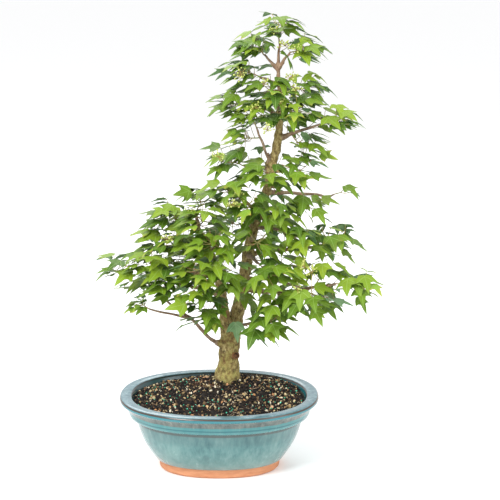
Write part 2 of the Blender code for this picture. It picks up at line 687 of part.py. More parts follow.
def plan_shoots(wood):
    """Choose the line of every shoot first, each clear of the wood and of the others."""
    rng = random.Random(SHOOT_SEED)
    plans = []
    for name, (_, _, _, shoots) in BRANCHES.items():
        for index, shoot in enumerate(shoots):
            for _ in range(30):
                points = shoot_axis(name, shoot, rng)
                tree = axis_test_shape(points)
                hit_wood = any(tree.overlap(other) for other in wood)
                hit_shoot = any(tree.overlap(plan[2]) for plan in plans)
                if not hit_wood and not hit_shoot:
                    break
            plans.append((f"shoot_{name}_{index + 1}", points, tree, YOUNG_LEAF_SIZE.get(name, 1.0)))
    return plans


def make_shoot(plan, blocked, material, rng):
    """One green shoot with its leaves in opposite pairs, as a single closed body."""
    name, points, _, leaf_size = plan
    bm = bmesh.new()
    ahead = (points[1] - points[0]).normalized()
    right = ahead.cross(UP).normalized()
    last_ring = [bm.verts.new(p) for p in ring_round(points[0], ahead, right, 0, SHOOT_RADIUS)]
    bm.faces.new(last_ring)
    leaves = 0
    for i in range(1, len(points)):
        ahead = (points[i] - points[i - 1]).normalized()
        twist = 28 if i % 2 else -28
        thin = SHOOT_RADIUS * (1.0 - 0.25 * i / len(points))
        right = carried(right, ahead)
        node = ahead * NODE_HALF_LENGTH
        first, second = ([bm.verts.new(p) for p in ring_round(place, ahead, right, twist, thin)]
                         for place in (points[i] - node, points[i] + node))
        bridge(bm, last_ring, first)
        above = right.cross(ahead)
        size = leaf_size * (1.0 - 0.10 * (i == len(points) - 1) - 0.04 * rng.random())
        for k in range(4):
            quad = (first[k], first[(k + 1) % 4], second[(k + 1) % 4], second[k])
            angle = math.radians(90 * (k + 1) + twist)
            side = right * math.cos(angle) + above * math.sin(angle)
            chosen = None
            if k in (1, 3):
                root = points[i] + side * thin
                chosen = choose_leaf(root, side, ahead, size, blocked, rng)
            if chosen is None:
                bm.faces.new(quad)
            else:
                build_leaf(bm, quad, *chosen)
                leaves += 1
        last_ring = second
    bm.faces.new(last_ring)
    add_object(name, mesh_from(name, bm), material)
    return leaves


def make_shoots(material):
    wood = wood_trees()
    plans = plan_shoots(wood)
    anywhere = Vector((0.0, 0.0, 0.0))
    blocked = [(anywhere, 10.0, tree) for tree in wood]
    blocked += [(anywhere, 10.0, plan[2]) for plan in plans]
    rng = random.Random(SHOOT_SEED + 1)
    total = sum(make_shoot(plan, blocked, material, rng) for plan in plans)
    print(f"{len(plans)} shoots carry {total} leaves")


# --------------------------------------------------------------------------------- build ----
def main():
    remove_everything()
    glaze = make_material("turquoise_glaze", (0.06, 0.25, 0.26), 0.22)
    earth = make_material("soil_mix", (0.06, 0.04, 0.025), 0.95)
    bark = make_material("bark", (0.30, 0.24, 0.12), 0.85)
    plastic = make_material("black_plastic", (0.02, 0.02, 0.02), 0.55)
    leaf = make_material("maple_leaf", (0.10, 0.30, 0.04), 0.45)
    roots = root_routes()
    make_pot(glaze)
    make_drain_screen("drain_screen_left", -DRAIN_OFFSET, plastic)
    make_drain_screen("drain_screen_right", DRAIN_OFFSET, plastic)
    make_soil(earth, roots)
    make_wood(bark, roots)
    make_shoots(leaf)


main()
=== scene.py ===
# %% [markdown]
# # A trident maple bonsai in an oval glazed pot
# The frame holds the plain solids of the part: an oval pot, two drain screens, the soil, one
# piece of wood and the leafy shoots that grow from it. This notebook keeps their places and
# sizes and gives each of them its real surface: bark, blades with veins, grit and glaze.

# %% Load the frame
import json
import math
import random

import bmesh
import bpy
import numpy as np
from mathutils import Matrix, Vector
from mathutils.bvhtree import BVHTree
from mathutils.kdtree import KDTree

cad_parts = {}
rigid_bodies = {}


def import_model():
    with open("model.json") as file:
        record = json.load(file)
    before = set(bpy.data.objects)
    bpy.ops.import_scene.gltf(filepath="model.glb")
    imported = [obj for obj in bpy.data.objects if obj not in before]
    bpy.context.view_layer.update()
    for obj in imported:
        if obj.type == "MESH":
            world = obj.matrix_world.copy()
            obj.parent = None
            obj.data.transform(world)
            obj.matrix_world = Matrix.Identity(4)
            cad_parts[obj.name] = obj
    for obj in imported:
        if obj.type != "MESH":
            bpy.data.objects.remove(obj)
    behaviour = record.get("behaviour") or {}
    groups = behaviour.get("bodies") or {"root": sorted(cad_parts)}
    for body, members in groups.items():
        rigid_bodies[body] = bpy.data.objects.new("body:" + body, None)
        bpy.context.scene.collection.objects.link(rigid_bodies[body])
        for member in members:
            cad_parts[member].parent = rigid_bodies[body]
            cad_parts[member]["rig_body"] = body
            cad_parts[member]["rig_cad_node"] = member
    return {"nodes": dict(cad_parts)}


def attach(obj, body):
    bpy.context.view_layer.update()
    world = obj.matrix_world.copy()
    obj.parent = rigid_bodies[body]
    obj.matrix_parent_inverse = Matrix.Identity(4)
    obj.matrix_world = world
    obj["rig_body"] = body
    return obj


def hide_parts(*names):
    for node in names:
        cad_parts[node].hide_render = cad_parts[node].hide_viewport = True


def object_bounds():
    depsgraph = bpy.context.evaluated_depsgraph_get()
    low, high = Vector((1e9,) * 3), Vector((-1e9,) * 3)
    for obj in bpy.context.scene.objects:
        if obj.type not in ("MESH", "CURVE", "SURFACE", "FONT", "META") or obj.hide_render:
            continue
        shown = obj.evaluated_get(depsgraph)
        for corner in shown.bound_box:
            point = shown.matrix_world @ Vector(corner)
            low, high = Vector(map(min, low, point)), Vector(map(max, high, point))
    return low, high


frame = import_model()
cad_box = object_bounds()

UP = Vector((0.0, 0.0, 1.0))
nodes = frame["nodes"]
print(len(nodes), "CAD nodes in", [round(b - a, 3) for a, b in zip(*cad_box)])

# %% [markdown]
# ## Small tools
# Operators act on everything that is selected, so each piece starts by letting go of the
# rest. A modifier is applied as soon as it is set, and a finished piece is a plain mesh.


# %% Modelling helpers
def deselect():
    for item in list(bpy.context.selected_objects):
        item.select_set(False)


def work_on(piece):
    deselect()
    piece.select_set(True)
    bpy.context.view_layer.objects.active = piece


def edit(piece, *steps):
    """Run mesh operators on the whole of a piece: each step is a function."""
    work_on(piece)
    bpy.ops.object.mode_set(mode="EDIT")
    bpy.ops.mesh.select_all(action="SELECT")
    for step in steps:
        step()
    bpy.ops.object.mode_set(mode="OBJECT")


def merge_doubles(distance=0.00002):
    return lambda: bpy.ops.mesh.remove_doubles(threshold=distance)


def turn_faces_out():
    bpy.ops.mesh.normals_make_consistent(inside=False)


def apply_modifier(piece, kind, **settings):
    work_on(piece)
    modifier = piece.modifiers.new(kind.title(), kind)
    for name, value in settings.items():
        setattr(modifier, name, value)
    bpy.ops.object.modifier_apply(modifier=modifier.name)


def corners_of(mesh):
    places = np.zeros(len(mesh.vertices) * 3)
    mesh.vertices.foreach_get("co", places)
    return places.reshape(-1, 3)


def put_corners(mesh, places):
    mesh.vertices.foreach_set("co", np.asarray(places, float).ravel())
    mesh.update()


def write_attribute(mesh, name, values):
    values = np.asarray(values, np.float32)
    kind = "FLOAT_VECTOR" if values.ndim == 2 else "FLOAT"
    attribute = mesh.attributes.new(name, kind, "POINT")
    attribute.data.foreach_set("vector" if values.ndim == 2 else "value", values.ravel())


def finish_piece(piece, material, slot, *stands_for):
    """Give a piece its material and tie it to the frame."""
    piece.data.materials.clear()
    piece.data.materials.append(material)
    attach(piece, "root")
    if stands_for:
        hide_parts(*stands_for)


def report(piece):
    triangles = sum(len(face.vertices) - 2 for face in piece.data.polygons)
    print(f"{piece.name}: {triangles} triangles,",
          " x ".join(f"{1000 * side:.0f}" for side in piece.dimensions), "mm")


# %% [markdown]
# Stems of every size are drawn the same way, as a Bezier curve with a round bevel. Each
# point of the curve has its own radius, so one curve can taper and swell like a real stem.


# %% Stems from curves
def stems(name, routes, roundness=2, between=3):
    """One mesh of round stems through lists of (x, y, z, radius)."""
    deselect()
    bpy.ops.curve.primitive_bezier_curve_add()
    piece = bpy.context.object
    piece.name = name
    bpy.ops.object.mode_set(mode="EDIT")
    bpy.ops.curve.select_all(action="SELECT")
    bpy.ops.curve.delete(type="VERT")
    for route in routes:
        bpy.ops.curve.select_all(action="DESELECT")
        for point in route:
            bpy.ops.curve.vertex_add(location=tuple(point[:3]))
    bpy.ops.curve.select_all(action="SELECT")
    bpy.ops.curve.handle_type_set(type="AUTOMATIC")
    bpy.ops.object.mode_set(mode="OBJECT")
    curve = piece.data
    for spline, route in zip(curve.splines, routes):
        for knot, point in zip(spline.bezier_points, route):
            knot.radius = point[3]
    curve.bevel_depth = 1.0
    curve.bevel_resolution = roundness
    curve.resolution_u = between
    curve.use_fill_caps = True
    bpy.ops.object.convert(target="MESH")
    piece = bpy.context.object
    edit(piece, merge_doubles(), turn_faces_out)
    return piece


# %% [markdown]
# ## Shader tools
# A shader graph reads better as a sum than as a list of nodes. A `Value` wraps one output
# socket, and adding or multiplying two of them adds a Math node to the graph. Colours are
# blended with Mix nodes, because a Math node would turn them grey.


# %% Shader helpers
class Value:
    def __init__(self, graph, socket):
        self.graph, self.socket = graph, socket

    def maths(self, operation, *values):
        return self.graph.node("Math", {"operation": operation}, values)

    def __add__(self, other):
        return self.maths("ADD", self, other)

    def __mul__(self, other):
        return self.maths("MULTIPLY", self, other)

    def __sub__(self, other):
        return self.maths("SUBTRACT", self, other)

    def __rsub__(self, other):
        return self.maths("SUBTRACT", other, self)

    def __abs__(self):
        return self.maths("ABSOLUTE", self)

    __radd__, __rmul__ = __add__, __mul__


class Graph:
    """The nodes of one material."""

    def __init__(self, name, **constants):
        self.material = bpy.data.materials.new(name)
        self.material.use_nodes = True
        self.tree = self.material.node_tree
        self.shader = self.tree.nodes["Principled BSDF"]
        for label, value in constants.items():
            self.shader.inputs[label.replace("_", " ")].default_value = value

    def node(self, kind, settings=None, values=(), output=0):
        made = self.tree.nodes.new("ShaderNode" + kind)
        for name, value in (settings or {}).items():
            if name == "stops":
                self.set_stops(made.color_ramp, value)
            else:
                setattr(made, name, value)
        pairs = values.items() if isinstance(values, dict) else enumerate(values)
        for key, value in pairs:
            if isinstance(value, Value):
                self.tree.links.new(value.socket, made.inputs[key])
            else:
                made.inputs[key].default_value = value
        return Value(self, made.outputs[output])

    def set_stops(self, ramp, stops):
        while len(ramp.elements) < len(stops):
            ramp.elements.new(1.0)
        for element, (place, colour) in zip(ramp.elements, stops):
            element.position = place
            element.color = (*colour, 1.0)

    def place(self, scale=(1, 1, 1)):
        """Object coordinates, in metres, stretched by a scale."""
        here = self.node("TexCoord", output=3)
        return self.node("Mapping", {}, {"Vector": here, "Scale": scale})

    def axis(self, vector, index):
        return self.node("SeparateXYZ", {}, [vector], index)

    def noise(self, vector, scale, detail=4.0, rough=0.55):
        return self.node("TexNoise", {}, {"Vector": vector, "Scale": scale, "Detail": detail,
                                          "Roughness": rough})

    def cells(self, vector, scale, output=0):
        return self.node("TexVoronoi", {}, {"Vector": vector, "Scale": scale}, output)

    def rise(self, value, low, high):
        """0 below low, 1 above high, and a smooth slope between them."""
        return self.node("MapRange", {"interpolation_type": "SMOOTHSTEP"},
                         {"Value": value, "From Min": low, "From Max": high})

    def band(self, value, low, high, soft):
        return self.rise(value, low - soft, low) * (1.0 - self.rise(value, high, high + soft))

    def least(self, a, b):
        return a.maths("MINIMUM", a, b)

    def ramp(self, value, *stops):
        return self.node("ValToRGB", {"stops": stops}, [value])

    def blend(self, share, first, second):
        pair = [tuple(c) + (1.0,) if isinstance(c, tuple) else c for c in (first, second)]
        return self.node("Mix", {"data_type": "RGBA"}, {0: share, 6: pair[0], 7: pair[1]}, 2)

    def attribute(self, name):
        return self.node("Attribute", {"attribute_name": name}, output=1)

    def number(self, name):
        return self.node("Attribute", {"attribute_name": name}, output=2)

    def bump(self, height, distance, strength=1.0):
        return self.node("Bump", {}, {"Height": height, "Distance": distance,
                                      "Strength": strength})

    def feed(self, **links):
        for label, value in links.items():
            self.tree.links.new(value.socket, self.shader.inputs[label.replace("_", " ")])
        return self.material


# %% [markdown]
# ## The pot
# The pot is thrown stoneware pressed to a soft oval. Its plan is an ellipse with slightly
# squared ends, so a plain circle is not enough: a ring is added, extruded once for each step
# of the section, and each new ring is moved out to the oval of its height. A bevel then
# rounds the lips as glaze does.

# %% Shape of the pot
POT_HALF_LENGTH, POT_HALF_WIDTH = 0.1524, 0.120
PLAN_POWER, WIDTH_FALL, PLAN_STEPS = 2.25, 0.93, 132
POT_SECTION = (
    (0.0780, 0.0030), (0.0800, 0.0000), (0.0905, 0.0000), (0.0925, 0.0020), (0.0935, 0.0138),
    (0.0965, 0.0146), (0.0990, 0.0165), (0.1065, 0.0280), (0.1113, 0.0355), (0.1156, 0.0430),
    (0.1193, 0.0512), (0.1225, 0.0600), (0.1252, 0.0688), (0.1272, 0.0766), (0.1283, 0.0798),
    (0.1282, 0.0810), (0.1298, 0.0824), (0.1345, 0.0838), (0.1374, 0.0858), (0.1390, 0.0888),
    (0.1400, 0.0925), (0.1403, 0.0950), (0.1408, 0.0966), (0.1419, 0.0990), (0.1434, 0.1020),
    (0.1452, 0.1048), (0.1478, 0.1064), (0.1508, 0.1072), (0.1521, 0.1086), (0.1524, 0.1108),
    (0.1519, 0.1126), (0.1506, 0.1139), (0.1486, 0.1145), (0.1360, 0.1145), (0.1342, 0.1134),
    (0.1328, 0.1110), (0.1235, 0.0800), (0.1070, 0.0450), (0.0920, 0.0180), (0.0850, 0.0120),
)
DRAIN_OFFSET, DRAIN_RADIUS = 0.050, 0.0100


def oval(half_length, angles):
    """The plan of the pot at some angles, where it is half_length long each way."""
    half_width = POT_HALF_WIDTH - WIDTH_FALL * (POT_HALF_LENGTH - half_length)
    c, s = np.cos(angles), np.sin(angles)
    power = 2.0 / PLAN_POWER
    return (half_length * np.sign(c) * np.abs(c) ** power,
            half_width * np.sign(s) * np.abs(s) ** power)


# %% Model the pot
def model_pot():
    deselect()
    bpy.ops.mesh.primitive_circle_add(vertices=PLAN_STEPS, radius=1.0, fill_type="NOTHING")
    pot = bpy.context.object
    pot.name = "glazed_pot"
    bpy.ops.object.mode_set(mode="EDIT")
    bpy.ops.mesh.select_all(action="SELECT")
    for _ in POT_SECTION[1:]:
        bpy.ops.mesh.extrude_region_move()
    bpy.ops.object.mode_set(mode="OBJECT")
    turn = np.arange(PLAN_STEPS) * 2.0 * math.pi / PLAN_STEPS
    rings = [np.column_stack([*oval(half, turn), np.full(PLAN_STEPS, height)])
             for half, height in POT_SECTION]
    put_corners(pot.data, np.vstack(rings))
    edit(pot, lambda: bpy.ops.mesh.select_non_manifold(),
         bpy.ops.mesh.edge_face_add, lambda: bpy.ops.mesh.select_all(action="SELECT"),
         turn_faces_out)
    return pot


pot = model_pot()
print("rings", len(POT_SECTION), "of", PLAN_STEPS, "points")


# %% [markdown]
# Two holes through the floor let water out. They are cut with cylinders by a Boolean
# modifier, and the edges that catch glaze are rounded with a small bevel afterwards.


# %% Drain holes and rounded lips
def cut_hole(piece, x):
    deselect()
    bpy.ops.mesh.primitive_cylinder_add(vertices=32, radius=DRAIN_RADIUS, depth=0.06,
                                        location=(x, 0.0, 0.0))
    cutter = bpy.context.object
    apply_modifier(piece, "BOOLEAN", operation="DIFFERENCE", solver="EXACT", object=cutter)
    bpy.data.objects.remove(cutter, do_unlink=True)


for side in (-1, 1):
    cut_hole(pot, side * DRAIN_OFFSET)
apply_modifier(pot, "BEVEL", width=0.0004, segments=2, limit_method="ANGLE",
               angle_limit=math.radians(32))
work_on(pot)
bpy.ops.object.shade_smooth_by_angle(angle=math.radians(38))


def mark_inside(piece):
    """Write 1 on the inner wall and floor and 0 on the outside, for the shader."""
    outer, inner = np.array(POT_SECTION[3:31]), np.array(POT_SECTION[:32:-1])
    places = corners_of(piece.data)
    x, y, z = places.T
    half = 0.5 * (np.interp(z, outer[:, 1], outer[:, 0]) + np.interp(z, inner[:, 1], inner[:, 0]))
    wide = POT_HALF_WIDTH - WIDTH_FALL * (POT_HALF_LENGTH - half)
    share = (np.abs(x) / half) ** PLAN_POWER + (np.abs(y) / wide) ** PLAN_POWER
    write_attribute(piece.data, "inside", (share < 1.0) & (z > 0.0115) & (z < 0.1140))


mark_inside(pot)
report(pot)

# %% [markdown]
# The glaze is a turquoise that breaks to rust where it runs thin over an edge and is darker
# in a band just below the collar and in a thin line on the collar, so its colour follows the
# height on the pot. The foot is wiped bare before firing and stays a matt orange terracotta.


# %% Glaze
def glaze_material():
    g = Graph("turquoise_glaze", IOR=1.5)
    here = g.place()
    height = g.axis(here, 2)
    runs = g.noise(g.place((110, 110, 14)), 1.0, 6.0, 0.68)
    clouds = g.noise(here, 20.0, 3.0)
    fine = g.noise(here, 420.0, 4.0, 0.7)
    body = g.ramp(0.60 * runs + 0.40 * clouds, (0.34, (0.026, 0.100, 0.106)),
                  (0.48, (0.078, 0.195, 0.194)), (0.62, (0.150, 0.280, 0.266)))
    low = 1.0 - g.rise(height + 0.012 * runs, 0.014, 0.066)
    body = g.blend(0.45 * low, body, (0.170, 0.290, 0.262))
    wavy = height + 0.0016 * (clouds - 0.5)
    # A darker band on the body, just below the overhanging collar.
    dark_band_below_collar = g.band(wavy + 0.014 * (runs - 0.5), 0.066, 0.080, 0.010)
    body = g.blend(0.35 * dark_band_below_collar, body, (0.055, 0.120, 0.125))
    under = g.band(wavy, 0.0786, 0.0832, 0.0016)
    body = g.blend(0.80 * under, body, (0.075, 0.088, 0.082))
    collar = g.band(wavy, 0.0836, 0.0958, 0.0010)
    body = g.blend(0.70 * collar, body, (0.036, 0.215, 0.225))
    line = g.band(wavy, 0.0900, 0.0916, 0.0008)
    body = g.blend(0.65 * line, body, (0.006, 0.085, 0.105))
    groove = g.band(wavy + 0.0030 * (runs - 0.5), 0.0968, 0.1062, 0.0012)
    body = g.blend(0.86 * groove, body, g.ramp(runs, (0.35, (0.052, 0.060, 0.056)),
                                               (0.65, (0.155, 0.165, 0.142))))
    lip = g.band(wavy, 0.1072, 0.1120, 0.0008)
    body = g.blend(0.85 * lip, body, (0.012, 0.170, 0.205))
    rim = g.rise(wavy, 0.1134, 0.1141)
    body = g.blend(0.88 * rim, body, g.ramp(runs, (0.35, (0.068, 0.150, 0.190)),
                                            (0.65, (0.140, 0.245, 0.285))))
    arris = g.band(wavy, 0.1118, 0.1134, 0.0006) * g.rise(fine + 0.6 * clouds, 0.42, 0.62)
    body = g.blend(0.92 * arris, body, (0.050, 0.022, 0.012))
    specks = g.rise(fine, 0.64, 0.74)
    body = g.blend(0.35 * specks, body, (0.025, 0.070, 0.075))
    shaded = g.rise(g.number("inside"), 0.4, 0.9) * (1.0 - 0.75 * g.rise(g.axis(here, 0), -0.02, 0.06))
    body = g.blend(0.80 * shaded, body, (0.010, 0.026, 0.028))
    clay = g.ramp(g.noise(g.place((60, 60, 300)), 1.0, 5.0), (0.3, (0.480, 0.195, 0.090)),
                  (0.7, (0.640, 0.300, 0.155)))
    glazed = g.rise(height + 0.0016 * (clouds - 0.5), 0.0144, 0.0156)
    skin = g.blend(glazed, clay, body)
    rough = 0.75 - 0.57 * glazed + 0.10 * glazed * g.rise(runs, 0.4, 0.7)
    bump = g.bump(0.7 * fine + 0.3 * runs, 0.0004, 0.25)
    return g.feed(Base_Color=skin, Roughness=rough, Coat_Weight=0.35 * glazed, Normal=bump)


finish_piece(pot, glaze_material(), "glaze", "pot")

# %% [markdown]
# ## The drain screens
# A square of black plastic mesh keeps the soil above each hole. The frame already has them
# right, so they keep their solids and only get a finish.


# %% Screen plastic
def screen_material():
    g = Graph("screen_plastic", Roughness=0.55)
    grain = g.noise(g.place(), 900.0)
    colour = g.ramp(grain, (0.3, (0.012, 0.012, 0.013)), (0.7, (0.030, 0.030, 0.032)))
    return g.feed(Base_Color=colour, Normal=g.bump(grain, 0.0002, 0.3))


screen_finish = screen_material()
for name in ("drain_screen_left", "drain_screen_right"):
    nodes[name].data.materials.clear()
    nodes[name].data.materials.append(screen_finish)

# %% [markdown]
# ## The soil
# The bed under the grit is a copy of the CAD soil, remeshed into an even skin so that it can
# be roughened. Only what faces up is moved, so it stays inside the pot.

# %% Soil bed
SOIL_EDGE_HEIGHT, SOIL_MOUND, SOIL_MOUND_POWER = 0.1060, 0.0175, 0.85
SOIL_HALF_LENGTH = 0.1312
TRUNK_FOOT = np.array((0.012, 0.042))


def soil_top(x, y, share):
    """Height of the soil a share of the way from the trunk to the pot's wall."""
    ripple = 0.0008 * np.sin(61.0 * x + 1.3) * np.sin(73.0 * y + 0.4)
    banked = 0.0058 * np.clip((x + 0.07) / 0.08, 0.0, 1.0) * np.clip(y / 0.07, 0.0, 1.0)
    return SOIL_EDGE_HEIGHT + banked + SOIL_MOUND * (
        0.5 + 0.5 * np.cos(math.pi * share ** SOIL_MOUND_POWER)) + ripple


def model_soil_bed():
    deselect()
    bed = nodes["soil"].copy()
    bed.data = nodes["soil"].data.copy()
    bpy.context.scene.collection.objects.link(bed)
    bed.name = "soil_bed"
    bed.parent = None
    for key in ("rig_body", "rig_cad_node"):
        del bed[key]
    edit(bed, merge_doubles())
    apply_modifier(bed, "REMESH", mode="VOXEL", voxel_size=0.0026)
    noise = np.random.default_rng(3)
    places = corners_of(bed.data)
    facing_up = np.array([corner.normal.z > 0.6 for corner in bed.data.vertices])
    top = facing_up & (places[:, 2] > 0.1)
    banked = np.clip((places[:, 0] + 0.07) / 0.08, 0, 1) * np.clip(places[:, 1] / 0.07, 0, 1)
    places[top, 2] += 0.0054 * banked[top]
    places[top, 2] += noise.uniform(-0.0012, 0.0006, top.sum())
    put_corners(bed.data, places)
    return bed


soil_bed = model_soil_bed()
report(soil_bed)

# %% [markdown]
# The grit on top is what is seen: charcoal, fired clay, bark chips and pumice, from dust to
# pea size. One stone is an icosphere of twenty faces. It is copied thousands of times, each
# copy squashed and turned its own way, and each keeps a number that picks its colour.


# %% One stone, scattered
def turns(rng, count):
    """Random rotation matrices."""
    q = rng.normal(size=(count, 4))
    w, x, y, z = (q / np.linalg.norm(q, axis=1)[:, None]).T
    return np.array([[1 - 2 * (y * y + z * z), 2 * (x * y - z * w), 2 * (x * z + y * w)],
                     [2 * (x * y + z * w), 1 - 2 * (x * x + z * z), 2 * (y * z - x * w)],
                     [2 * (x * z - y * w), 2 * (y * z + x * w), 1 - 2 * (x * x + y * y)]
                     ]).transpose(2, 0, 1)


def spots_on_soil(rng, count, clear=0.021, reach=0.985):
    """Points spread evenly over the soil, away from the trunk."""
    spots = []
    while len(spots) < count:
        turn, share = rng.uniform(0, 2 * math.pi), math.sqrt(rng.uniform(0, 1)) * reach
        edge = np.array(oval(SOIL_HALF_LENGTH, np.array(turn)))
        x, y = TRUNK_FOOT + (edge - TRUNK_FOOT) * share
        if math.hypot(x - TRUNK_FOOT[0], y - TRUNK_FOOT[1]) > clear:
            spots.append((x, y, soil_top(x, y, share)))
    return np.array(spots)


def scatter(name, count, sizes, flat, sunk, seed, clear=0.021):
    rng = np.random.default_rng(seed)
    deselect()
    bpy.ops.mesh.primitive_ico_sphere_add(subdivisions=1, radius=1.0)
    stone = bpy.context.object
    stone.name = name
    shape = corners_of(stone.data)
    faces = np.array([face.vertices[:] for face in stone.data.polygons])
    size = sizes[0] + (sizes[1] - sizes[0]) * rng.power(0.8, count) ** 2.2
    stretch = np.stack([np.ones(count), rng.uniform(*flat[0], count),
                        rng.uniform(*flat[1], count)], 1) * size[:, None] * 0.5
    bumpy = 1.0 + rng.uniform(-0.16, 0.16, (count, len(shape), 1))
    stones = (shape[None] * bumpy * stretch[:, None]) @ turns(rng, count).transpose(0, 2, 1)
    spots = spots_on_soil(rng, count, clear)
    spots[:, 2] += size * 0.5 * sunk * rng.uniform(0.3, 1.0, count)
    stones += spots[:, None]
    places = stones.reshape(-1, 3)
    all_faces = (faces[None] + (np.arange(count) * len(shape))[:, None, None]).reshape(-1, 3)
    stone.data.clear_geometry()
    stone.data.from_pydata(places.tolist(), [], all_faces.tolist())
    write_attribute(stone.data, "tone", np.repeat(rng.uniform(0, 1, count), len(shape)))
    report(stone)
    return stone


grit = scatter("soil_grit", 8200, (0.0011, 0.0068), ((0.35, 0.95), (0.25, 0.7)), 0.7, 11)
granules = scatter("green_granules", 300, (0.0016, 0.0030), ((0.85, 1.0), (0.8, 1.0)), 1.1, 12,
                   0.040)
work_on(granules)
bpy.ops.object.shade_smooth()

# %% [markdown]
# Fine pale rootlets lie on the surface in front of the trunk. They are thin curved stems.


# %% Rootlets
def rootlet_routes(rng):
    routes = []
    for _ in range(26):
        x, y = rng.uniform(-0.020, 0.050), rng.uniform(-0.085, 0.012)
        turn = rng.uniform(0, 2 * math.pi)
        route = []
        for step in range(5):
            share = min(1.0, math.hypot(x - TRUNK_FOOT[0], (y - TRUNK_FOOT[1]) * 1.25) / 0.150)
            lift = 0.0012 + 0.0030 * math.sin(math.pi * step / 4.0) * rng.random()
            route.append((x, y, soil_top(x, y, share) + lift, 0.00045 - 0.00006 * step))
            turn += rng.uniform(-0.9, 0.9)
            x, y = x + 0.0055 * math.cos(turn), y + 0.0055 * math.sin(turn)
        routes.append(route)
    return routes


rootlets = stems("surface_rootlets", rootlet_routes(random.Random(5)), 0, 3)
report(rootlets)


# %% Soil finishes
def grit_material():
    g = Graph("grit_mix", Roughness=0.9)
    tone = g.number("tone")
    colour = g.ramp(tone, (0.00, (0.003, 0.002, 0.002)), (0.52, (0.008, 0.005, 0.004)),
                    (0.66, (0.032, 0.018, 0.010)), (0.76, (0.110, 0.062, 0.030)),
                    (0.84, (0.360, 0.250, 0.110)), (0.90, (0.700, 0.580, 0.330)),
                    (0.95, (0.540, 0.230, 0.080)), (0.98, (0.820, 0.740, 0.560)))
    dirt = g.noise(g.place(), 700.0, 5.0)
    colour = g.blend(0.40 * g.rise(dirt, 0.5, 0.7), colour, (0.020, 0.013, 0.009))
    return g.feed(Base_Color=colour, Normal=g.bump(dirt, 0.0004, 0.5))


def bed_material():
    g = Graph("damp_soil", Roughness=0.95)
    here = g.place()
    grains = g.noise(here, 380.0, 6.0, 0.7)
    colour = g.ramp(grains, (0.35, (0.003, 0.002, 0.002)), (0.6, (0.016, 0.010, 0.007)),
                    (0.8, (0.060, 0.036, 0.022)))
    beside, behind = g.axis(here, 0) + 0.012, g.axis(here, 1) - 0.040
    powder = 1.0 - g.rise(beside * beside + behind * behind, 0.0004, 0.0013)
    colour = g.blend(0.60 * powder * g.rise(grains, 0.40, 0.56), colour, (0.260, 0.090, 0.028))
    return g.feed(Base_Color=colour, Normal=g.bump(grains, 0.0010, 0.8))


def granule_material():
    g = Graph("green_granule", Roughness=0.35)
    tone = g.number("tone")
    colour = g.ramp(tone, (0.0, (0.006, 0.300, 0.160)), (0.5, (0.030, 0.620, 0.370)),
                    (1.0, (0.200, 0.860, 0.600)))
    dust = g.rise(g.noise(g.place(), 900.0), 0.55, 0.75)
    return g.feed(Base_Color=g.blend(0.3 * dust, colour, (0.10, 0.12, 0.08)))


def rootlet_material():
    g = Graph("rootlet", Roughness=0.8)
    mottle = g.noise(g.place(), 500.0)
    return g.feed(Base_Color=g.ramp(mottle, (0.3, (0.220, 0.150, 0.090)),
                                    (0.7, (0.560, 0.450, 0.310))))


finish_piece(soil_bed, bed_material(), "soil", "soil")
finish_piece(grit, grit_material(), "soil")
finish_piece(granules, granule_material(), "soil")
finish_piece(rootlets, rootlet_material(), "soil")

# %% [markdown]
# ## The wood
# Two trunks rise from one base. Each is a stem with its own swellings, so they are drawn as
# curves first: the tapering trunks, the surface roots, the collar where each branch leaves
# and the stubs of branches that were cut off.

# %% Lines of the wood: x, y, z and radius
TRUNK = (
    (0.012, 0.042, 0.092, 0.0220), (0.012, 0.042, 0.110, 0.0240), (0.012, 0.042, 0.123, 0.0224),
    (0.013, 0.042, 0.138, 0.0186), (0.014, 0.043, 0.154, 0.0160), (0.015, 0.043, 0.172, 0.0162),
    (0.017, 0.043, 0.188, 0.0154), (0.020, 0.044, 0.205, 0.0144), (0.026, 0.045, 0.225, 0.0114),
    (0.032, 0.046, 0.250, 0.0102), (0.039, 0.048, 0.290, 0.0089), (0.044, 0.047, 0.322, 0.0096),
    (0.050, 0.046, 0.352, 0.0082), (0.060, 0.044, 0.386, 0.0074), (0.073, 0.042, 0.425, 0.0066),
    (0.080, 0.040, 0.460, 0.0071), (0.088, 0.040, 0.494, 0.0068), (0.091, 0.040, 0.525, 0.0056),
    (0.091, 0.042, 0.568, 0.0039), (0.089, 0.042, 0.607, 0.0027),
)
SECOND_TRUNK = (
    (0.010, 0.040, 0.165, 0.0112), (0.010, 0.034, 0.204, 0.0094), (0.006, 0.028, 0.255, 0.0075),
    (-0.002, 0.022, 0.296, 0.0073), (-0.012, 0.019, 0.328, 0.0057), (-0.024, 0.016, 0.356, 0.0039),
    (-0.031, 0.015, 0.372, 0.0028),
)
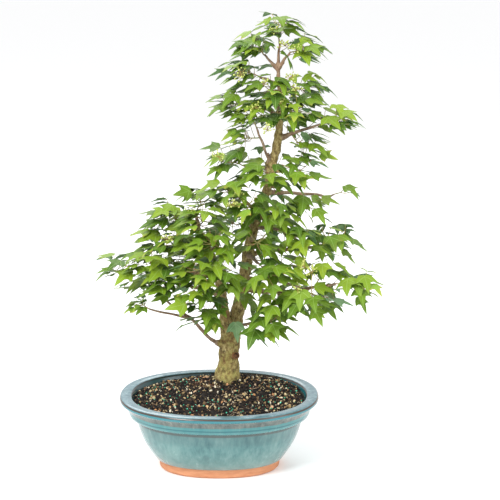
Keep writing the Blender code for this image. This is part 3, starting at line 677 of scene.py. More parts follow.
# Radius at the root, radius at the tip, and the points of each branch.
BRANCHES = {
    "low_left": (0.0030, 0.0013, (
        (0.004, 0.038, 0.178), (-0.015, 0.030, 0.193), (-0.043, 0.022, 0.226),
        (-0.072, 0.015, 0.236), (-0.106, 0.011, 0.245))),
    "low_left_fork": (0.0020, 0.0013, (
        (-0.043, 0.022, 0.226), (-0.060, 0.028, 0.237), (-0.085, 0.036, 0.256),
        (-0.098, 0.040, 0.268))),
    "left_drooping": (0.0026, 0.0014, (
        (0.003, 0.030, 0.245), (-0.003, 0.014, 0.252), (-0.008, 0.002, 0.250))),
    "left_under": (0.0040, 0.0017, (
        (0.003, 0.028, 0.262), (-0.018, 0.008, 0.276), (-0.050, -0.010, 0.288))),
    "left_long": (0.0045, 0.0016, (
        (-0.001, 0.024, 0.292), (-0.035, 0.012, 0.301), (-0.075, 0.002, 0.308),
        (-0.112, -0.006, 0.313))),
    "left_front": (0.0036, 0.0016, (
        (0.000, 0.023, 0.300), (-0.006, -0.010, 0.313), (-0.014, -0.030, 0.319))),
    "left_back": (0.0036, 0.0016, (
        (-0.008, 0.020, 0.318), (-0.020, 0.050, 0.318), (-0.026, 0.072, 0.312))),
    "left_middle": (0.0038, 0.0016, (
        (-0.012, 0.019, 0.328), (-0.036, 0.017, 0.341), (-0.066, 0.022, 0.350))),
    "left_inner": (0.0028, 0.0015, (
        (-0.012, 0.019, 0.328), (-0.009, -0.004, 0.342), (-0.007, -0.016, 0.350))),
    "left_shoulder": (0.0026, 0.0014, (
        (-0.024, 0.016, 0.356), (-0.042, 0.014, 0.372), (-0.052, 0.012, 0.381))),
    "left_peak": (0.0024, 0.0013, (
        (-0.031, 0.015, 0.372), (-0.033, 0.022, 0.390), (-0.032, 0.026, 0.398))),
    "cross_left": (0.0030, 0.0015, (
        (0.060, 0.044, 0.388), (0.045, 0.040, 0.402), (0.030, 0.024, 0.416))),
    "cross_back": (0.0028, 0.0015, (
        (0.054, 0.045, 0.366), (0.044, 0.056, 0.368))),
    "left_rise": (0.0024, 0.0013, (
        (0.079, 0.040, 0.455), (0.056, 0.038, 0.460), (0.038, 0.039, 0.461))),
    "middle_back": (0.0024, 0.0014, (
        (0.076, 0.041, 0.440), (0.068, 0.054, 0.441))),
    "middle_front": (0.0026, 0.0014, (
        (0.078, 0.041, 0.447), (0.078, 0.024, 0.453))),
    "middle_right": (0.0026, 0.0014, (
        (0.062, 0.044, 0.390), (0.074, 0.028, 0.393))),
    "right_arm": (0.0030, 0.0012, (
        (0.071, 0.042, 0.420), (0.108, 0.054, 0.417), (0.146, 0.066, 0.412),
        (0.166, 0.072, 0.406), (0.176, 0.075, 0.410))),
    "right_stub_twig": (0.0028, 0.0014, (
        (0.080, 0.040, 0.462), (0.097, 0.026, 0.464))),
    "red_twig": (0.0022, 0.0012, (
        (0.080, 0.040, 0.462), (0.071, 0.030, 0.482), (0.060, 0.022, 0.512),
        (0.057, 0.019, 0.522))),
    "lowest_right": (0.0032, 0.0016, (
        (0.018, 0.044, 0.205), (0.036, 0.034, 0.213), (0.056, 0.014, 0.225))),
    "right_low": (0.0042, 0.0016, (
        (0.035, 0.047, 0.268), (0.075, 0.020, 0.270), (0.109, 0.000, 0.275),
        (0.145, -0.008, 0.285), (0.176, -0.013, 0.291))),
    "right_low_back": (0.0035, 0.0016, (
        (0.038, 0.048, 0.283), (0.074, 0.066, 0.278), (0.124, 0.070, 0.264))),
    "right_front": (0.0035, 0.0016, (
        (0.043, 0.046, 0.323), (0.054, 0.010, 0.323), (0.061, -0.014, 0.322))),
    "right_middle": (0.0036, 0.0014, (
        (0.044, 0.047, 0.321), (0.078, 0.050, 0.328), (0.121, 0.058, 0.329),
        (0.155, 0.066, 0.328), (0.170, 0.069, 0.333))),
    "right_back": (0.0030, 0.0015, (
        (0.046, 0.047, 0.336), (0.066, 0.072, 0.341))),
    "centre_front": (0.0030, 0.0015, (
        (0.048, 0.046, 0.344), (0.052, 0.022, 0.354), (0.054, 0.006, 0.358))),
    "right_shoulder": (0.0032, 0.0015, (
        (0.054, 0.045, 0.366), (0.078, 0.031, 0.366), (0.094, 0.020, 0.365))),
    "high_right": (0.0032, 0.0013, (
        (0.089, 0.040, 0.502), (0.122, 0.024, 0.517), (0.150, 0.008, 0.529))),
    "high_left": (0.0028, 0.0014, (
        (0.091, 0.041, 0.536), (0.070, 0.045, 0.547), (0.046, 0.049, 0.552))),
    "high_front": (0.0026, 0.0014, (
        (0.091, 0.041, 0.546), (0.098, 0.024, 0.551))),
    "high_back": (0.0026, 0.0014, (
        (0.091, 0.041, 0.530), (0.091, 0.062, 0.534))),
    "crown_front": (0.0024, 0.0013, (
        (0.091, 0.042, 0.570), (0.087, 0.026, 0.577))),
    "crown_right": (0.0024, 0.0013, (
        (0.090, 0.042, 0.575), (0.108, 0.045, 0.580))),
    "crown_left": (0.0024, 0.0013, (
        (0.090, 0.042, 0.582), (0.070, 0.037, 0.593), (0.060, 0.034, 0.597))),
    "tip_left": (0.0022, 0.0012, (
        (0.089, 0.042, 0.605), (0.073, 0.049, 0.622), (0.068, 0.051, 0.627))),
    "tip_right": (0.0024, 0.0013, (
        (0.089, 0.042, 0.605), (0.101, 0.033, 0.626), (0.106, 0.031, 0.632))),
    "leader": (0.0022, 0.0012, (
        (0.089, 0.042, 0.605), (0.090, 0.046, 0.634), (0.091, 0.047, 0.646))),
}
# Cut stubs: where each starts, where it ends, and its radius.
STUBS = (
    ((0.076, 0.040, 0.462), (0.0745, 0.029, 0.482), 0.0034),
    ((0.062, 0.044, 0.382), (0.0715, 0.036, 0.3825), 0.0036),
    ((0.068, 0.043, 0.410), (0.0790, 0.036, 0.409), 0.0030),
    ((0.078, 0.041, 0.430), (0.0880, 0.036, 0.4290), 0.0028),
    ((0.084, 0.040, 0.455), (0.0945, 0.036, 0.4520), 0.0026),
    ((0.053, 0.046, 0.384), (0.0450, 0.038, 0.3880), 0.0026),
    ((0.020, 0.040, 0.166), (0.0262, 0.0235, 0.1665), 0.0058),
    ((0.008, 0.038, 0.182), (-0.0050, 0.0300, 0.1860), 0.0050),
)
KNOT = Vector((0.0262, 0.0225, 0.1665))
KNOT_RADIUS = 0.0042


def root_routes():
    routes = []
    rng = random.Random(7)
    for index in range(6):
        angle = 2.0 * math.pi * (index + 0.2 + 0.4 * rng.random()) / 6
        route = []
        for step in range(4):
            t = step / 3.0
            out = 0.012 + 0.040 * t
            route.append((0.012 + math.cos(angle) * out, 0.042 + math.sin(angle) * out,
                          0.118 - 0.026 * t ** 1.6, 0.0085 - 0.0055 * t))
        routes.append(route)
    return routes


def branch_route(name):
    first, last, points = BRANCHES[name]
    steps = len(points) - 1
    return [(*point, first + (last - first) * i / steps) for i, point in enumerate(points)]


def collar_route(name):
    """The swollen first part of a branch, where it joins the older wood."""
    route = branch_route(name)
    start, after = Vector(route[0][:3]), Vector(route[1][:3])
    way = (after - start).normalized()
    radius = route[0][3]
    reach = min(0.020, 0.7 * (after - start).length)
    return [(*(start + way * (reach * t)), radius * grow)
            for t, grow in ((0.0, 1.75), (0.45, 1.45), (0.8, 1.08), (1.0, 0.85))]


def stub_route(start, end, radius):
    a, b = Vector(start), Vector(end)
    return [(*a, radius * 1.5), (*a.lerp(b, 0.55), radius * 1.15), (*a.lerp(b, 0.93), radius),
            (*b, radius * 0.82)]


print(len(BRANCHES), "branches,", len(STUBS), "cut stubs")

# %% [markdown]
# The curves are melted together with a voxel remesh, which gives one skin with soft collars
# where they meet, as wood grows. Smoothing takes the steps out, and a displacement by clouds
# adds the lumps and furrows. The thin twigs would melt away, so they stay clean tubes.


# %% Model the wood
def clouds(name, size, depth):
    texture = bpy.data.textures.new(name, "CLOUDS")
    texture.noise_scale = size
    texture.noise_depth = depth
    return texture


def model_old_wood():
    routes = [TRUNK, SECOND_TRUNK, *root_routes(), *map(collar_route, BRANCHES)]
    routes += [stub_route(*stub) for stub in STUBS]
    wood = stems("wood", routes, 3, 4)
    apply_modifier(wood, "REMESH", mode="VOXEL", voxel_size=0.00115)
    apply_modifier(wood, "SMOOTH", factor=0.5, iterations=5)
    apply_modifier(wood, "DISPLACE", texture=clouds("lumps", 0.010, 2), strength=0.0040,
                   mid_level=0.5)
    apply_modifier(wood, "DISPLACE", texture=clouds("furrows", 0.0026, 3), strength=0.0009,
                   mid_level=0.5)
    return wood


def hollow_knot(piece):
    """Press the middle of the old wound inward."""
    places = corners_of(piece.data)
    away = places - np.array(KNOT)
    near = np.clip(1.0 - np.linalg.norm(away, axis=1) / KNOT_RADIUS, 0.0, 1.0)
    press = np.array((-0.25, 0.95, 0.0)) * 0.0052
    put_corners(piece.data, places + press * (near ** 0.7)[:, None])


def model_twigs():
    noise = random.Random(21)
    routes = []
    for name in BRANCHES:
        route = branch_route(name)
        bent = [route[0]]
        for a, b in zip(route, route[1:]):
            middle = [(p + q) / 2 for p, q in zip(a, b)]
            shift = [noise.uniform(-0.0012, 0.0012) for _ in range(3)] + [0.0]
            bent += [tuple(p + q for p, q in zip(middle, shift)), b]
        knuckles = [(x, y, z, r * (1.0 + 0.16 * (i % 2))) for i, (x, y, z, r) in enumerate(bent)]
        routes.append(knuckles)
    return stems("twigs", routes, 2, 4)


def nearest_radius(places):
    """The thickness of the stem that each point lies on."""
    routes = [TRUNK, SECOND_TRUNK, *root_routes(), *map(branch_route, BRANCHES)]
    samples = []
    for route in routes:
        for a, b in zip(route, route[1:]):
            for t in (0.0, 0.25, 0.5, 0.75):
                samples.append([p + (q - p) * t for p, q in zip(a, b)])
    tree = KDTree(len(samples))
    for i, sample in enumerate(samples):
        tree.insert(sample[:3], i)
    tree.balance()
    girths = []
    for place in places:
        near = tree.find_n(place, 8)
        girths.append(min((abs(gap - samples[i][3]), samples[i][3]) for _, i, gap in near)[1])
    return girths


old_wood = model_old_wood()
hollow_knot(old_wood)
twigs = model_twigs()
report(old_wood)
report(twigs)
work_on(twigs)
old_wood.select_set(True)
bpy.context.view_layer.objects.active = old_wood
bpy.ops.object.join()
wood = bpy.context.object
work_on(wood)
bpy.ops.object.shade_smooth()
wood_corners = corners_of(wood.data)
write_attribute(wood.data, "girth", nearest_radius(wood_corners))
ends = np.array([stub[1] for stub in STUBS[:-2]])
gaps = np.linalg.norm(wood_corners[:, None] - ends[None], axis=2).min(axis=1)
write_attribute(wood.data, "cut", np.clip(1.0 - gaps / 0.0042, 0.0, 1.0))
knot_gap = np.linalg.norm(wood_corners - np.array(KNOT), axis=1)
write_attribute(wood.data, "knot", np.clip(1.0 - knot_gap / 0.0095, 0.0, 1.0))
report(wood)

# %% [markdown]
# Old bark is olive-tan and flakes, with moss near the soil. Young twigs are smooth and turn
# from grey-brown to pink. The girth written on each point moves the colour from one to the
# other.


# %% Bark
def bark_material():
    g = Graph("maple_bark", Roughness=0.86)
    here = g.place()
    girth = g.number("girth")
    height = g.axis(here, 2)
    streaks = g.noise(g.place((1, 1, 0.62)), 235.0, 7.0, 0.72)
    patches = g.noise(here, 60.0, 4.0)
    flakes = g.cells(g.place((1, 1, 0.5)), 260.0)
    old = g.ramp(streaks, (0.30, (0.050, 0.030, 0.010)), (0.43, (0.190, 0.132, 0.042)),
                 (0.55, (0.370, 0.285, 0.105)), (0.70, (0.620, 0.520, 0.270)))
    blots = g.rise(g.noise(g.place((1, 1, 0.7)), 130.0, 6.0, 0.68), 0.55, 0.63)
    old = g.blend(0.75 * blots, old, (0.062, 0.038, 0.016))
    red = g.band(height, 0.150, 0.235, 0.03) * g.rise(patches, 0.50, 0.62)
    old = g.blend(0.55 * red, old, (0.190, 0.072, 0.032))
    moss = g.rise(patches + 0.5 * (streaks - 0.5), 0.42, 0.58) * (1.0 - g.rise(height, 0.15, 0.27))
    old = g.blend(0.50 * moss * g.rise(streaks, 0.35, 0.60), old, (0.330, 0.330, 0.070))
    foot = 1.0 - g.rise(height, 0.118, 0.136)
    old = g.blend(0.45 * foot, old, (0.055, 0.040, 0.022))
    young = g.ramp(streaks, (0.3, (0.130, 0.080, 0.045)), (0.5, (0.260, 0.180, 0.115)),
                   (0.7, (0.460, 0.360, 0.250)))
    pink = g.rise(g.noise(here, 25.0), 0.45, 0.62)
    young = g.blend(0.25 * pink, young, (0.360, 0.150, 0.090))
    colour = g.blend(g.rise(girth, 0.0024, 0.0050), young, old)
    cut = g.number("cut")
    rings = g.ramp(g.noise(here, 500.0), (0.4, (0.500, 0.380, 0.210)), (0.6, (0.700, 0.590, 0.400)))
    colour = g.blend(0.9 * g.rise(cut, 0.22, 0.42), colour, rings)
    colour = g.blend(0.8 * g.band(height, 0.4665, 0.60, 0.004) * g.rise(cut, 0.02, 0.1), colour,
                     (0.085, 0.035, 0.022))
    knot = g.number("knot") + 0.35 * (patches - 0.5)
    colour = g.blend(0.80 * g.rise(knot, 0.05, 0.30), colour, (0.230, 0.085, 0.035))
    colour = g.blend(0.92 * g.rise(knot, 0.45, 0.62), colour, (0.018, 0.009, 0.006))
    relief = g.bump(0.6 * streaks + 0.4 * flakes, 0.0016, 0.90)
    return g.feed(Base_Color=colour, Normal=relief)


finish_piece(wood, bark_material(), "bark", "trunk_and_branches")

# %% [markdown]
# ## The leaves
# A trident maple leaf has three pointed lobes on a thin stalk. Half of one blade is shaped
# from a small grid, mirrored, and thickened, so each blade has an upper and a lower skin.
# Every corner keeps its place on the blade, which the shader needs to draw the veins. Only
# then is the blade folded along its midrib and curled, in a few different ways.

# %% Shape of a blade
# Midrib, middle and edge of each row, across and along a leaf one unit long.
BLADE_ROWS = (
    ((0, 0.00), (0.060, -0.012), (0.130, -0.020)), ((0, 0.09), (0.150, 0.070), (0.300, 0.055)),
    ((0, 0.19), (0.210, 0.175), (0.420, 0.225)), ((0, 0.29), (0.265, 0.310), (0.530, 0.455)),
    ((0, 0.38), (0.165, 0.385), (0.330, 0.425)), ((0, 0.47), (0.090, 0.470), (0.185, 0.468)),
    ((0, 0.70), (0.075, 0.695), (0.145, 0.665)), ((0, 1.00), (0.003, 0.998), (0.006, 0.994)),
)
BLADE_THICKNESS = 0.008
# Fold along the midrib, curl of the tip, droop of the side lobes, and wave of the edge.
BENDS = ((0.16, 0.22, 0.10, 0.015), (0.26, 0.40, 0.05, 0.020), (0.08, 0.55, 0.20, 0.018),
         (0.32, 0.10, -0.05, 0.022), (0.12, 0.30, 0.32, 0.012), (0.20, -0.12, 0.14, 0.024))


def blade_shape(bend):
    deselect()
    bpy.ops.mesh.primitive_grid_add(x_subdivisions=2, y_subdivisions=len(BLADE_ROWS) - 1,
                                    size=1.0)
    blade = bpy.context.object
    flat = [(x, y, 0.0) for row in BLADE_ROWS for x, y in row]
    put_corners(blade.data, flat)
    apply_modifier(blade, "MIRROR", use_axis=(True, False, False), merge_threshold=0.004)
    apply_modifier(blade, "SOLIDIFY", thickness=BLADE_THICKNESS, offset=0.0)
    edit(blade, turn_faces_out)
    places = corners_of(blade.data)
    side = np.sign(places[:, 2])
    write_attribute(blade.data, "blade", np.column_stack([places[:, 0], places[:, 1], side]))
    fold, curl, droop, wave = bend
    x, y = np.abs(places[:, 0]), places[:, 1]
    places[:, 2] += (fold * x - (fold + droop) * x * x * 1.6 - curl * np.clip(y - 0.3, 0, 1) ** 2
                     + wave * np.sin(17.0 * y) * np.minimum(1.0, 4.0 * x))
    put_corners(blade.data, places)
    return blade


blades = [blade_shape(bend) for bend in BENDS]
print("a blade has", len(blades[0].data.polygons), "faces")

# %% [markdown]
# Where each leaf hangs is already settled: the CAD shoots hold a plain blade on every stalk.
# Each is read back as a base, a direction along the leaf and a direction out of its face.


# %% Read the shoots of the frame
def around(corner):
    return {edge.other_vert(corner) for edge in corner.link_edges}


def middle_of(corners):
    return sum((corner.co for corner in corners), Vector()) / len(corners)


def read_leaf(under):
    """Frame of one leaf, from the middle corner of its lower face, and its corners."""
    near = around(under)
    tip = max(near, key=lambda corner: (corner.co - under.co).length)
    top = next(iter(around(tip) - near - {under}))
    heel = next(iter(near - around(top)))
    pair = around(heel) & near
    base = middle_of(pair)
    along = (tip.co - base).normalized()
    out = top.co - under.co
    out = (out - along * out.dot(along)).normalized()
    rest = set().union(*map(around, [heel, *pair])) - near - {under, top}
    leaf = {"root": middle_of(rest), "base": base, "along": along, "out": out,
            "length": (tip.co - base).length}
    return leaf, near | {top, under}


def read_shoot(node, wood_tree):
    """The line of a CAD shoot, from the wood to its end, and its leaves."""
    bm = bmesh.new()
    bm.from_mesh(node.data)
    bmesh.ops.remove_doubles(bm, verts=bm.verts, dist=0.00001)
    leaves, used = [], set()
    for under in [corner for corner in bm.verts if len(corner.link_edges) == 10]:
        leaf, corners = read_leaf(under)
        leaves.append(leaf)
        used |= corners
    stem = [corner.co.copy() for corner in bm.verts if corner not in used]
    bm.free()
    ends = max(((a, b) for a in stem for b in stem), key=lambda pair: (pair[0] - pair[1]).length)
    ends = sorted(ends, key=lambda end: wood_tree.find_nearest(end)[3])
    stem.sort(key=lambda corner: (corner - ends[0]).dot(ends[1] - ends[0]))
    rings = [sum(stem[i:i + 4], Vector()) / 4 for i in range(0, len(stem), 4)]
    line = [rings[0]] + [(a + b) / 2 for a, b in zip(rings[1::2], rings[2::2])]
    start = wood_tree.find_nearest(rings[0])[0]
    return [start] + line, leaves


frame_wood = nodes["trunk_and_branches"].data
wood_tree = BVHTree.FromPolygons([v.co for v in frame_wood.vertices],
                                 [p.vertices[:] for p in frame_wood.polygons])
shoots = {name: read_shoot(node, wood_tree) for name, node in sorted(nodes.items())
          if name.startswith("shoot_")}


def on_the_left(point):
    """0 on the right of the crown, 1 on the wide pad on the left."""
    return min(1.0, max(0.0, (0.045 - point.x) / 0.07))


def in_the_crown(point):
    """0 below the crown, 1 in its upper part."""
    return min(1.0, max(0.0, (point.z - 0.40) / 0.10))


def spread_of(point):
    return max(on_the_left(point), 0.75 * in_the_crown(point))


def trunk_x(height):
    return float(np.interp(height, [knot[2] for knot in TRUNK], [knot[0] for knot in TRUNK]))


def spread_out(leaf):
    """Lay a leaf of the left pad or crown flatter, away from the trunk, to catch light."""
    base, along = leaf["base"], leaf["along"]
    share = 0.20 + 0.65 * spread_of(base)
    level = Vector((along.x, along.y, 0.0)).normalized()
    away = Vector((base.x - trunk_x(base.z), 0.6 * (base.y - 0.040), 0.0)).normalized()
    level = (level + away * (0.9 * share)).normalized()
    droop = math.asin(-along.z) * (1.0 - 0.75 * share)
    leaf["along"] = level * math.cos(droop) - UP * math.sin(droop)
    out = leaf["out"] + UP * (0.8 * share)
    leaf["out"] = (out - leaf["along"] * out.dot(leaf["along"])).normalized()


for _, leaves in shoots.values():
    for leaf in leaves:
        spread_out(leaf)
print(len(shoots), "shoots,", sum(len(leaves) for _, leaves in shoots.values()), "leaves")

# %% [markdown]
# The crown is fuller than its main shoots. Each joint of a shoot also carries small leaves
# above and below it, so more are grown there. A new leaf is kept only where its blade does
# not cut through one that is already there.

# %% Fill the crown
LEAF_GROWTH = 1.06
OUTLINE = ((0.13, -0.02), (0.53, 0.45), (0.18, 0.47), (0.0, 1.0), (-0.18, 0.47),
           (-0.53, 0.45), (-0.13, -0.02))


def flat_blade(leaf):
    """A simple fan in the shape of a blade, for keeping leaves apart."""
    right = leaf["along"].cross(leaf["out"])
    size = leaf["length"] * LEAF_GROWTH
    points = [leaf["base"] + right * (x * size) + leaf["along"] * (y * size)
              - leaf["out"] * (0.12 * abs(x) * size) for x, y in OUTLINE]
    points.append(leaf["base"] + leaf["along"] * (0.3 * size))
    last = len(OUTLINE)
    faces = [(i, (i + 1) % last, last) for i in range(last)]
    return BVHTree.FromPolygons(points, faces), points[-1]


EYE = Vector((0.0472, -2.187, 0.868))
SHOWN_TRUNK = ((0.165, 0.240), (0.285, 0.350), (0.450, 0.522))
taken = [flat_blade(leaf) for _, leaves in shoots.values() for leaf in leaves]
wood_skin = BVHTree.FromPolygons([v.co for v in wood.data.vertices],
                                 [p.vertices[:] for p in wood.data.polygons])
reach_low = [low - 0.013 for low in cad_box[0]]
reach_high = [high + 0.010 for high in cad_box[1]]


def inside_reach(point):
    return all(low < value < high for low, value, high in zip(reach_low, point, reach_high))


def hides_trunk(leaf):
    """Whether a leaf hangs in front of the parts of the trunk that the tree shows off."""
    if leaf["base"].y > 0.03:
        return False
    spots = [leaf["base"] + leaf["along"] * (leaf["length"] * t) for t in (0.0, 0.35, 0.7, 1.0)]
    right = leaf["along"].cross(leaf["out"]) * (0.45 * leaf["length"])
    spots += [spots[1] + right, spots[1] - right]
    for spot in spots:
        seen = EYE + (spot - EYE) * ((0.042 - EYE.y) / (spot.y - EYE.y))
        for low, high in SHOWN_TRUNK:
            if low < seen.z < high:
                a, b = next((p, q) for p, q in zip(TRUNK, TRUNK[1:]) if p[2] <= seen.z <= q[2])
                t = (seen.z - a[2]) / (b[2] - a[2])
                if abs(seen.x - (a[0] + (b[0] - a[0]) * t)) < 0.009:
                    return True
    return False


def fits(leaf, shown=True):
    tree, middle = flat_blade(leaf)
    tip = leaf["base"] + leaf["along"] * leaf["length"] * LEAF_GROWTH
    if not inside_reach(tip) or tree.overlap(wood_skin) or (shown and hides_trunk(leaf)):
        return False
    if any((middle - other).length < 0.045 and tree.overlap(blade) for blade, other in taken):
        return False
    taken.append((tree, middle))
    return True


def try_leaf(rng, root, heading, sizes, stalks=(0.010, 0.026)):
    """One more leaf from a point of a stem, or nothing when there is no room."""
    for _ in range(10):
        way = Vector([rng.gauss(0.0, 1.0) for _ in range(3)])
        way = (way - heading * way.dot(heading)).normalized() + heading * rng.uniform(0, 0.7)
        way = (way + UP * rng.uniform(0.0, 0.6)).normalized()
        base = root + way * rng.uniform(*stalks)
        spread = spread_of(base)
        side = math.copysign(0.7 * spread, base.x - trunk_x(base.z))
        level = Vector((way.x + rng.uniform(-0.4, 0.4) + side,
                        way.y + rng.uniform(-0.5, 0.3), 0.0))
        droop = math.radians(rng.uniform(5, 55 - 35 * spread))
        along = level.normalized() * math.cos(droop) - UP * math.sin(droop)
        right = Matrix.Rotation(math.radians(rng.gauss(0, 22)), 3, along) @ along.cross(UP)
        leaf = {"root": root, "base": base, "along": along, "length": rng.uniform(*sizes),
                "out": right.normalized().cross(along)}
        if fits(leaf):
            return leaf
    return None


def fill_shoot(rng, line, leaves):
    """Small leaves at the joints of a shoot, above and below the pairs it has."""
    grown = []
    for a, b in zip(line[1:], line[2:]):
        heading = (b - a).normalized()
        for t in (0.35, 1.0, 0.7):
            leaf = try_leaf(rng, a.lerp(b, t), heading, (0.020, 0.032))
            if leaf and rng.random() < 0.45 + 0.55 * spread_of(a):
                grown.append(leaf)
    leaves.extend(grown)
    return len(grown)


def swing_aside(leaf, rng):
    """Turn a leaf about its stalk's root until the trunk behind it shows."""
    for _ in range(24):
        spin = Matrix.Rotation(math.radians(rng.uniform(-75, 75)), 3, "Z")
        moved = dict(leaf, base=leaf["root"] + spin @ (leaf["base"] - leaf["root"]),
                     along=spin @ leaf["along"], out=spin @ leaf["out"])
        if fits(moved):
            leaf.update(moved)
            return 1
    return 0


fill_random = random.Random(77)
hiding = [leaf for _, leaves in shoots.values() for leaf in leaves if hides_trunk(leaf)]
print(len(hiding), "leaves hide the trunk,", sum(swing_aside(leaf, fill_random)
                                                for leaf in hiding), "swung aside")
SPARSE_SHOOTS = ("shoot_low_left_1", "shoot_red_twig_1", "shoot_right_arm_1")
grown = sum(fill_shoot(fill_random, *shoot) for name, shoot in shoots.items()
            if name not in SPARSE_SHOOTS)
print(grown, "more leaves on the shoots")


# %% Leaves straight from the branches
BARE_BRANCHES = ("low_left", "low_left_fork", "red_twig", "right_arm")


def fill_branch(rng, name):
    route = [Vector(point[:3]) for point in branch_route(name)]
    found = []
    for a, b in zip(route, route[1:]):
        for _ in range(max(1, int((b - a).length / 0.015))):
            leaf = try_leaf(rng, a.lerp(b, rng.random()), (b - a).normalized(), (0.026, 0.036),
                            (0.016, 0.036))
            if leaf:
                found.append(leaf)
    return found


def fill_tip(rng, line, leaves):
    """A tuft of small new leaves on the last part of a bare shoot."""
    for _ in range(9):
        leaf = try_leaf(rng, line[-2].lerp(line[-1], rng.uniform(0.2, 1.0)),
                        (line[-1] - line[-2]).normalized(), (0.013, 0.021), (0.006, 0.016))
        if leaf:
            leaves.append(leaf)


for name in ("shoot_low_left_1", "shoot_red_twig_1"):
    fill_tip(fill_random, *shoots[name])
branch_leaves = [leaf for name in BRANCHES if name not in BARE_BRANCHES
                 for leaf in fill_branch(fill_random, name)]
# One pale leaf hangs in front of the trunk and shows its lower face.
branch_leaves.append({"root": Vector((0.022, 0.026, 0.232)), "length": 0.031,
                      "base": Vector((0.025, 0.006, 0.226)),
                      "along": Vector((0.10, -0.22, -0.97)).normalized(),
                      "out": Vector((0.25, 0.95, -0.19)).normalized()})
print(len(branch_leaves), "leaves straight from the branches")

# %% [markdown]
# A shoot is one piece: its stem and stalks are drawn together as thin curves, and a copy of
# a blade is set on the end of each stalk.


# %% Build the shoots
def stalk_route(leaf):
    root, base, along = leaf["root"], leaf["base"], leaf["along"]
    sag = UP * (-0.06 * (base - root).length)
    end = base + along * (0.05 * leaf["length"])
    return [(*root, 0.00062), (*(root.lerp(base, 0.5) + sag), 0.00045), (*base, 0.00042),
            (*end, 0.00030)]


def stem_route(line):
    count = len(line) - 1
    return [(*point, 0.0011 - 0.0004 * i / count) for i, point in enumerate(line)]


def set_blade(leaf, rng, look):
    blade = rng.choice(blades)
    copy = blade.copy()
    copy.data = blade.data.copy()
    bpy.context.scene.collection.objects.link(copy)
    shape = corners_of(copy.data)
    stretch = np.array((rng.uniform(0.90, 1.10), 1.0, rng.uniform(0.6, 1.3)))
    right = leaf["along"].cross(leaf["out"])
    axes = np.array((right, leaf["along"], leaf["out"])) * leaf["length"] * LEAF_GROWTH
    put_corners(copy.data, np.array(leaf["base"]) + (shape * stretch) @ axes)
    write_attribute(copy.data, "look", np.tile(look, (len(shape), 1)))
    return copy


def leaf_look(leaf, rng, young):
    """Tint, youth and depth of shade of one leaf, each from 0 to 1."""
    middle = leaf["base"] + leaf["along"] * (0.4 * leaf["length"])
    front = (0.10 - middle.y) / 0.20
    return (rng.random(), min(1.0, young + 0.25 * rng.random() ** 2),
            min(1.0, max(0.0, front + rng.uniform(-0.15, 0.15))))


def build_shoot(name, line, leaves, rng):
    routes = ([stem_route(line)] if line else []) + [stalk_route(leaf) for leaf in leaves]
    green = stems(name, routes, 1, 3)
    count = len(green.data.vertices)
    write_attribute(green.data, "blade", np.zeros((count, 3)))
    write_attribute(green.data, "look", np.tile((rng.random(), 0.4, 0.5), (count, 1)))
    copies = []
    for place, leaf in enumerate(leaves):
        at_end = bool(line) and (leaf["root"] - line[-1]).length < 0.004
        young = 0.55 * at_end + (0.30 if leaf["length"] < 0.027 else 0.0)
        copies.append(set_blade(leaf, rng, leaf_look(leaf, rng, young * rng.random())))
    work_on(green)
    for copy in copies:
        copy.select_set(True)
    bpy.context.view_layer.objects.active = green
    bpy.ops.object.join()
    work_on(green)
    bpy.ops.object.shade_smooth_by_angle(angle=math.radians(60))
    return bpy.context.object


leaf_random = random.Random(2024)
pieces = {}
for name, (line, leaves) in shoots.items():
    pieces[name] = build_shoot("leafy_" + name, line, leaves, leaf_random)
pieces["branch_leaves"] = build_shoot("leafy_branch_sprigs", None, branch_leaves, leaf_random)
for blade in blades:
    bpy.data.objects.remove(blade, do_unlink=True)
print(sum(len(piece.data.polygons) for piece in pieces.values()), "faces of leaf and stalk")

# %% [markdown]
# A blade is deep green above and paler, bluish green below. Three main veins run out from
# the stalk into the lobes and stand out pale. New leaves are yellow-green with a bronze
# edge. The stalks are green turning to pink.


